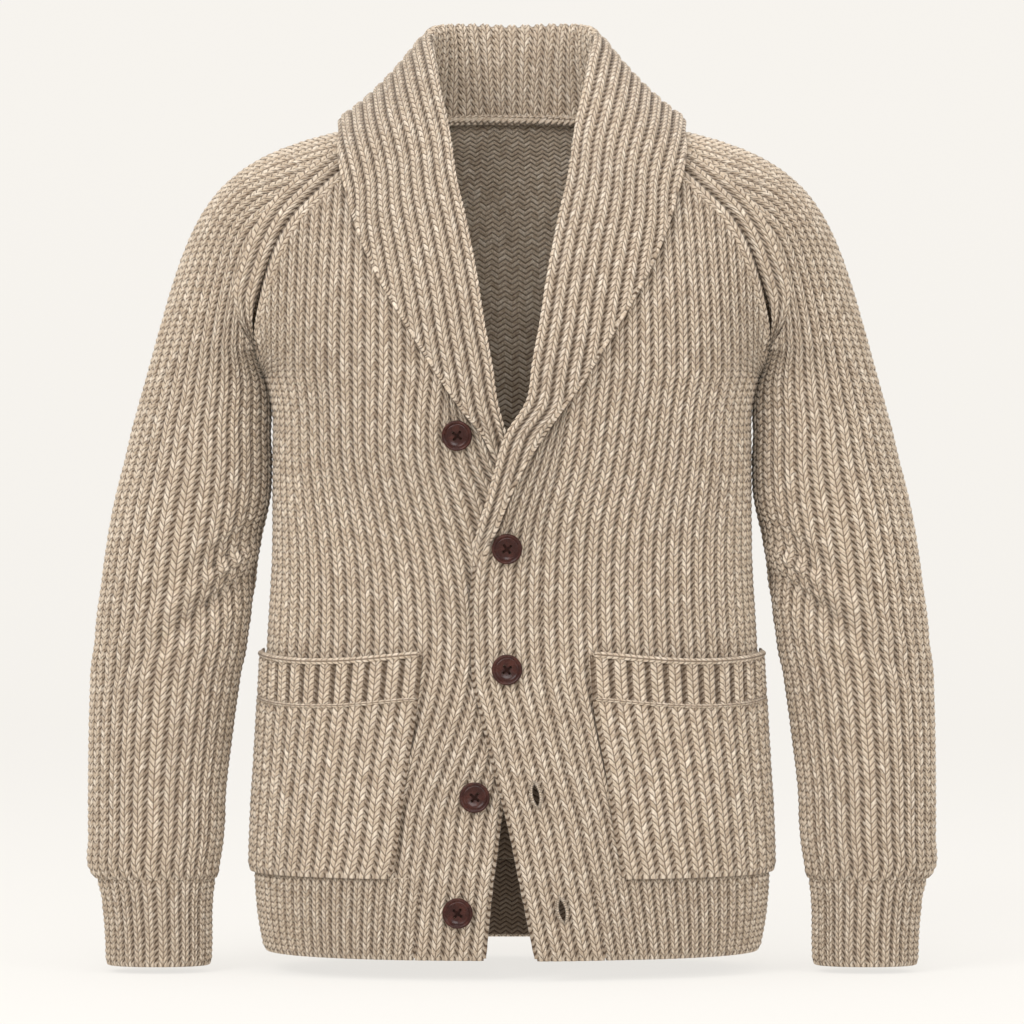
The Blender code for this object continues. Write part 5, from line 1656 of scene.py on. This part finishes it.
def make_stage():
    """A pale sweep, soft light and the camera."""
    stage = bpy.context.scene.cardigan_stage
    make_sweep(stage)
    make_lights(stage)
    eye = bpy.data.cameras.new("eye")
    eye.sensor_width = 36.0
    eye.lens = 36.0 * EYE_FAR / stage.view_width / 1000
    eye.clip_start = 0.05
    eye.clip_end = 60
    camera = bpy.data.objects.new("eye", eye)
    camera.location = (0, -EYE_FAR * MM, EYE_Z * MM)
    camera.rotation_euler = (math.pi / 2, 0, 0)
    bpy.context.scene.collection.objects.link(camera)
    bpy.context.scene.camera = camera
    bpy.context.scene.view_settings.view_transform = "Standard"


def make_sweep(stage):
    """A floor that bends up into a backdrop."""
    bend = np.linspace(0.1, math.pi / 2, 12)
    profile = [(-SWEEP_SIDE, FLOOR_Z), (SWEEP_BACK, FLOOR_Z)]
    profile += [(SWEEP_BACK + SWEEP_BEND * math.sin(a), FLOOR_Z + SWEEP_BEND * (1 - math.cos(a))) for a in bend]
    profile += [(SWEEP_BACK + SWEEP_BEND, SWEEP_TOP)]
    points = [(x, y, z) for y, z in profile for x in (-SWEEP_SIDE, SWEEP_SIDE)]
    faces = [(2 * i, 2 * i + 1, 2 * i + 3, 2 * i + 2) for i in range(len(profile) - 1)]
    mesh = bpy.data.meshes.new("sweep")
    mesh.from_pydata(points, [], faces)
    mesh.shade_smooth()
    sweep = bpy.data.objects.new("sweep", mesh)
    bpy.context.scene.collection.objects.link(sweep)
    paper = Finish("pale_paper", 1.0, Specular_IOR_Level=0.0)
    grain = paper.noise(paper.place(), 3.0, 2.0)
    taken = [c * stage.shaded for c in stage.paper]
    tone = paper.mix(grain * 0.1, colour(taken), colour([c * 0.97 for c in taken]))
    paper.feed(paper.shader.inputs["Base Color"], tone)
    paper.shader.inputs["Emission Color"].default_value = colour(stage.paper)
    paper.shader.inputs["Emission Strength"].default_value = 1 - stage.shaded
    mesh.materials.append(paper.made)


def make_lights(stage):
    """Soft light from all round and from four discs: name, place, size and power."""
    world = bpy.context.scene.world or bpy.data.worlds.new("World")
    bpy.context.scene.world = world
    world.use_nodes = True
    sky = world.node_tree.nodes["Background"]
    sky.inputs["Color"].default_value = (1.0, 0.985, 0.96, 1)
    sky.inputs["Strength"].default_value = stage.fill
    for name, place, size, power in (
        ("key", (-1.9, -2.6, 1.7), 2.0, stage.key),
        ("side", (2.6, -2.2, 0.7), 2.4, stage.key * 0.42),
        ("top", (0.0, -0.3, 2.7), 2.2, stage.key * 0.5),
        ("front", (0.0, -3.6, 0.7), 1.2, stage.key * 0.55),
    ):
        light = bpy.data.lights.new(name, "AREA")
        light.shape = "DISK"
        light.size = size
        light.energy = power
        lamp = bpy.data.objects.new(name, light)
        lamp.location = place
        lamp.rotation_euler = (AIMED_AT - Vector(place)).to_track_quat("-Z", "Y").to_euler()
        bpy.context.scene.collection.objects.link(lamp)


# ---------------------------------------------------------------- settings, operators and panel


def shade(name, description, default):
    return bpy.props.FloatVectorProperty(
        name=name, description=description, subtype="COLOR", size=3, min=0, max=1, default=default)


def length_of(name, description, default):
    return bpy.props.FloatProperty(name=name, description=description, default=default, unit="LENGTH")


class CARDIGAN_PG_knit(bpy.types.PropertyGroup):
    """Sizes and colours of the knitting."""

    stitch: length_of("Stitch", "Height of a stitch in the body, the sleeves and the collar", 0.006)
    rib_stitch: length_of("Rib stitch", "Height of a stitch in the hem, the cuffs and the welts", 0.0052)
    cream: shade("Cream", "Lightest strands", (0.84, 0.73, 0.6))
    tan: shade("Tan", "Main colour of the yarn", (0.56, 0.44, 0.32))
    brown: shade("Brown", "Darkest strands", (0.3, 0.21, 0.138))
    # painted shade colour, mixed into the gaps and grooves of the knitting
    painted_crevice_shade: shade("Crevice", "Yarn deep between the ribs", (0.085, 0.052, 0.029))


class CARDIGAN_PG_buttons(bpy.types.PropertyGroup):
    """Colours of the buttons."""

    dark: shade("Dark", "Darkest horn", (0.03, 0.007, 0.0045))
    light: shade("Light", "Lightest horn", (0.06, 0.016, 0.01))
    thread: shade("Thread", "Sewing thread", (0.009, 0.004, 0.003))


class CARDIGAN_PG_stage(bpy.types.PropertyGroup):
    """Paper, light and camera."""

    paper: shade("Paper", "Colour of the sweep", (0.947, 0.922, 0.88))
    shaded: bpy.props.FloatProperty(
        name="Shaded", description="Share of the sweep's brightness that a shadow can take",
        default=0.2, min=0, max=1)
    fill: bpy.props.FloatProperty(name="Fill", description="Light from all round", default=0.64, min=0)
    key: bpy.props.FloatProperty(
        name="Key", description="Power of the main light", default=60.0, min=0, subtype="POWER")
    view_width: length_of("View width", "Width of the picture where the garment hangs", 0.88)


class CARDIGAN_OT_body(bpy.types.Operator):
    """Knit the back and both fronts"""

    bl_idname = "cardigan.body"
    bl_label = "Back and Fronts"

    def execute(self, context):
        make_back()
        make_front("under", "right")
        make_front("top", "left")
        return {"FINISHED"}


class CARDIGAN_OT_sleeves(bpy.types.Operator):
    """Knit both sleeves"""

    bl_idname = "cardigan.sleeves"
    bl_label = "Sleeves"

    def execute(self, context):
        for side in ("right", "left"):
            make_sleeve(side)
        return {"FINISHED"}


class CARDIGAN_OT_ribs(bpy.types.Operator):
    """Knit the hem and the cuffs"""

    bl_idname = "cardigan.ribs"
    bl_label = "Hem and Cuffs"

    def execute(self, context):
        make_hems()
        for side in ("right", "left"):
            make_cuff(side)
        return {"FINISHED"}


class CARDIGAN_OT_bands(bpy.types.Operator):
    """Knit the button band and the buttonhole band"""

    bl_idname = "cardigan.bands"
    bl_label = "Front Bands"

    def execute(self, context):
        make_band("under", "right")
        make_band("top", "left")
        return {"FINISHED"}


class CARDIGAN_OT_pockets(bpy.types.Operator):
    """Knit the patch pockets and their welts"""

    bl_idname = "cardigan.pockets"
    bl_label = "Pockets"

    def execute(self, context):
        make_pocket("under", "right")
        make_pocket("top", "left")
        return {"FINISHED"}


class CARDIGAN_OT_collar(bpy.types.Operator):
    """Knit the shawl collar and twist the cord behind the neck"""

    bl_idname = "cardigan.collar"
    bl_label = "Collar and Cord"

    def execute(self, context):
        make_collar()
        make_cord()
        return {"FINISHED"}


class CARDIGAN_OT_buttons(bpy.types.Operator):
    """Turn and sew on the five buttons"""

    bl_idname = "cardigan.buttons"
    bl_label = "Buttons"

    def execute(self, context):
        for name, kind, x, z in BUTTONS:
            make_button(name, kind, x, z)
        return {"FINISHED"}


class CARDIGAN_OT_stage(bpy.types.Operator):
    """Set up the sweep, the lights and the camera"""

    bl_idname = "cardigan.stage"
    bl_label = "Stage"

    def execute(self, context):
        make_stage()
        return {"FINISHED"}


GROUPS = (
    ("cardigan_knit", CARDIGAN_PG_knit),
    ("cardigan_buttons", CARDIGAN_PG_buttons),
    ("cardigan_stage", CARDIGAN_PG_stage),
)
STEPS_IN_ORDER = (
    CARDIGAN_OT_stage,
    CARDIGAN_OT_body,
    CARDIGAN_OT_sleeves,
    CARDIGAN_OT_ribs,
    CARDIGAN_OT_bands,
    CARDIGAN_OT_pockets,
    CARDIGAN_OT_collar,
    CARDIGAN_OT_buttons,
)


class CARDIGAN_PT_panel(bpy.types.Panel):
    """The cardigan's settings and steps."""

    bl_idname = "CARDIGAN_PT_panel"
    bl_label = "Cardigan"
    bl_space_type = "VIEW_3D"
    bl_region_type = "UI"
    bl_category = "Cardigan"

    def draw(self, context):
        for name, group in GROUPS:
            box = self.layout.box()
            for key in group.__annotations__:
                box.prop(getattr(context.scene, name), key)
        for step in STEPS_IN_ORDER:
            self.layout.operator(step.bl_idname)


def register():
    for name, group in GROUPS:
        bpy.utils.register_class(group)
        setattr(bpy.types.Scene, name, bpy.props.PointerProperty(type=group))
    for step in (*STEPS_IN_ORDER, CARDIGAN_PT_panel):
        bpy.utils.register_class(step)


def unregister():
    for step in reversed((*STEPS_IN_ORDER, CARDIGAN_PT_panel)):
        bpy.utils.unregister_class(step)
    for name, group in reversed(GROUPS):
        delattr(bpy.types.Scene, name)
        bpy.utils.unregister_class(group)


def main():
    register()
    for step in STEPS_IN_ORDER:
        space, name = step.bl_idname.split(".")
        getattr(getattr(bpy.ops, space), name)()


if __name__ == "__main__":
    main()
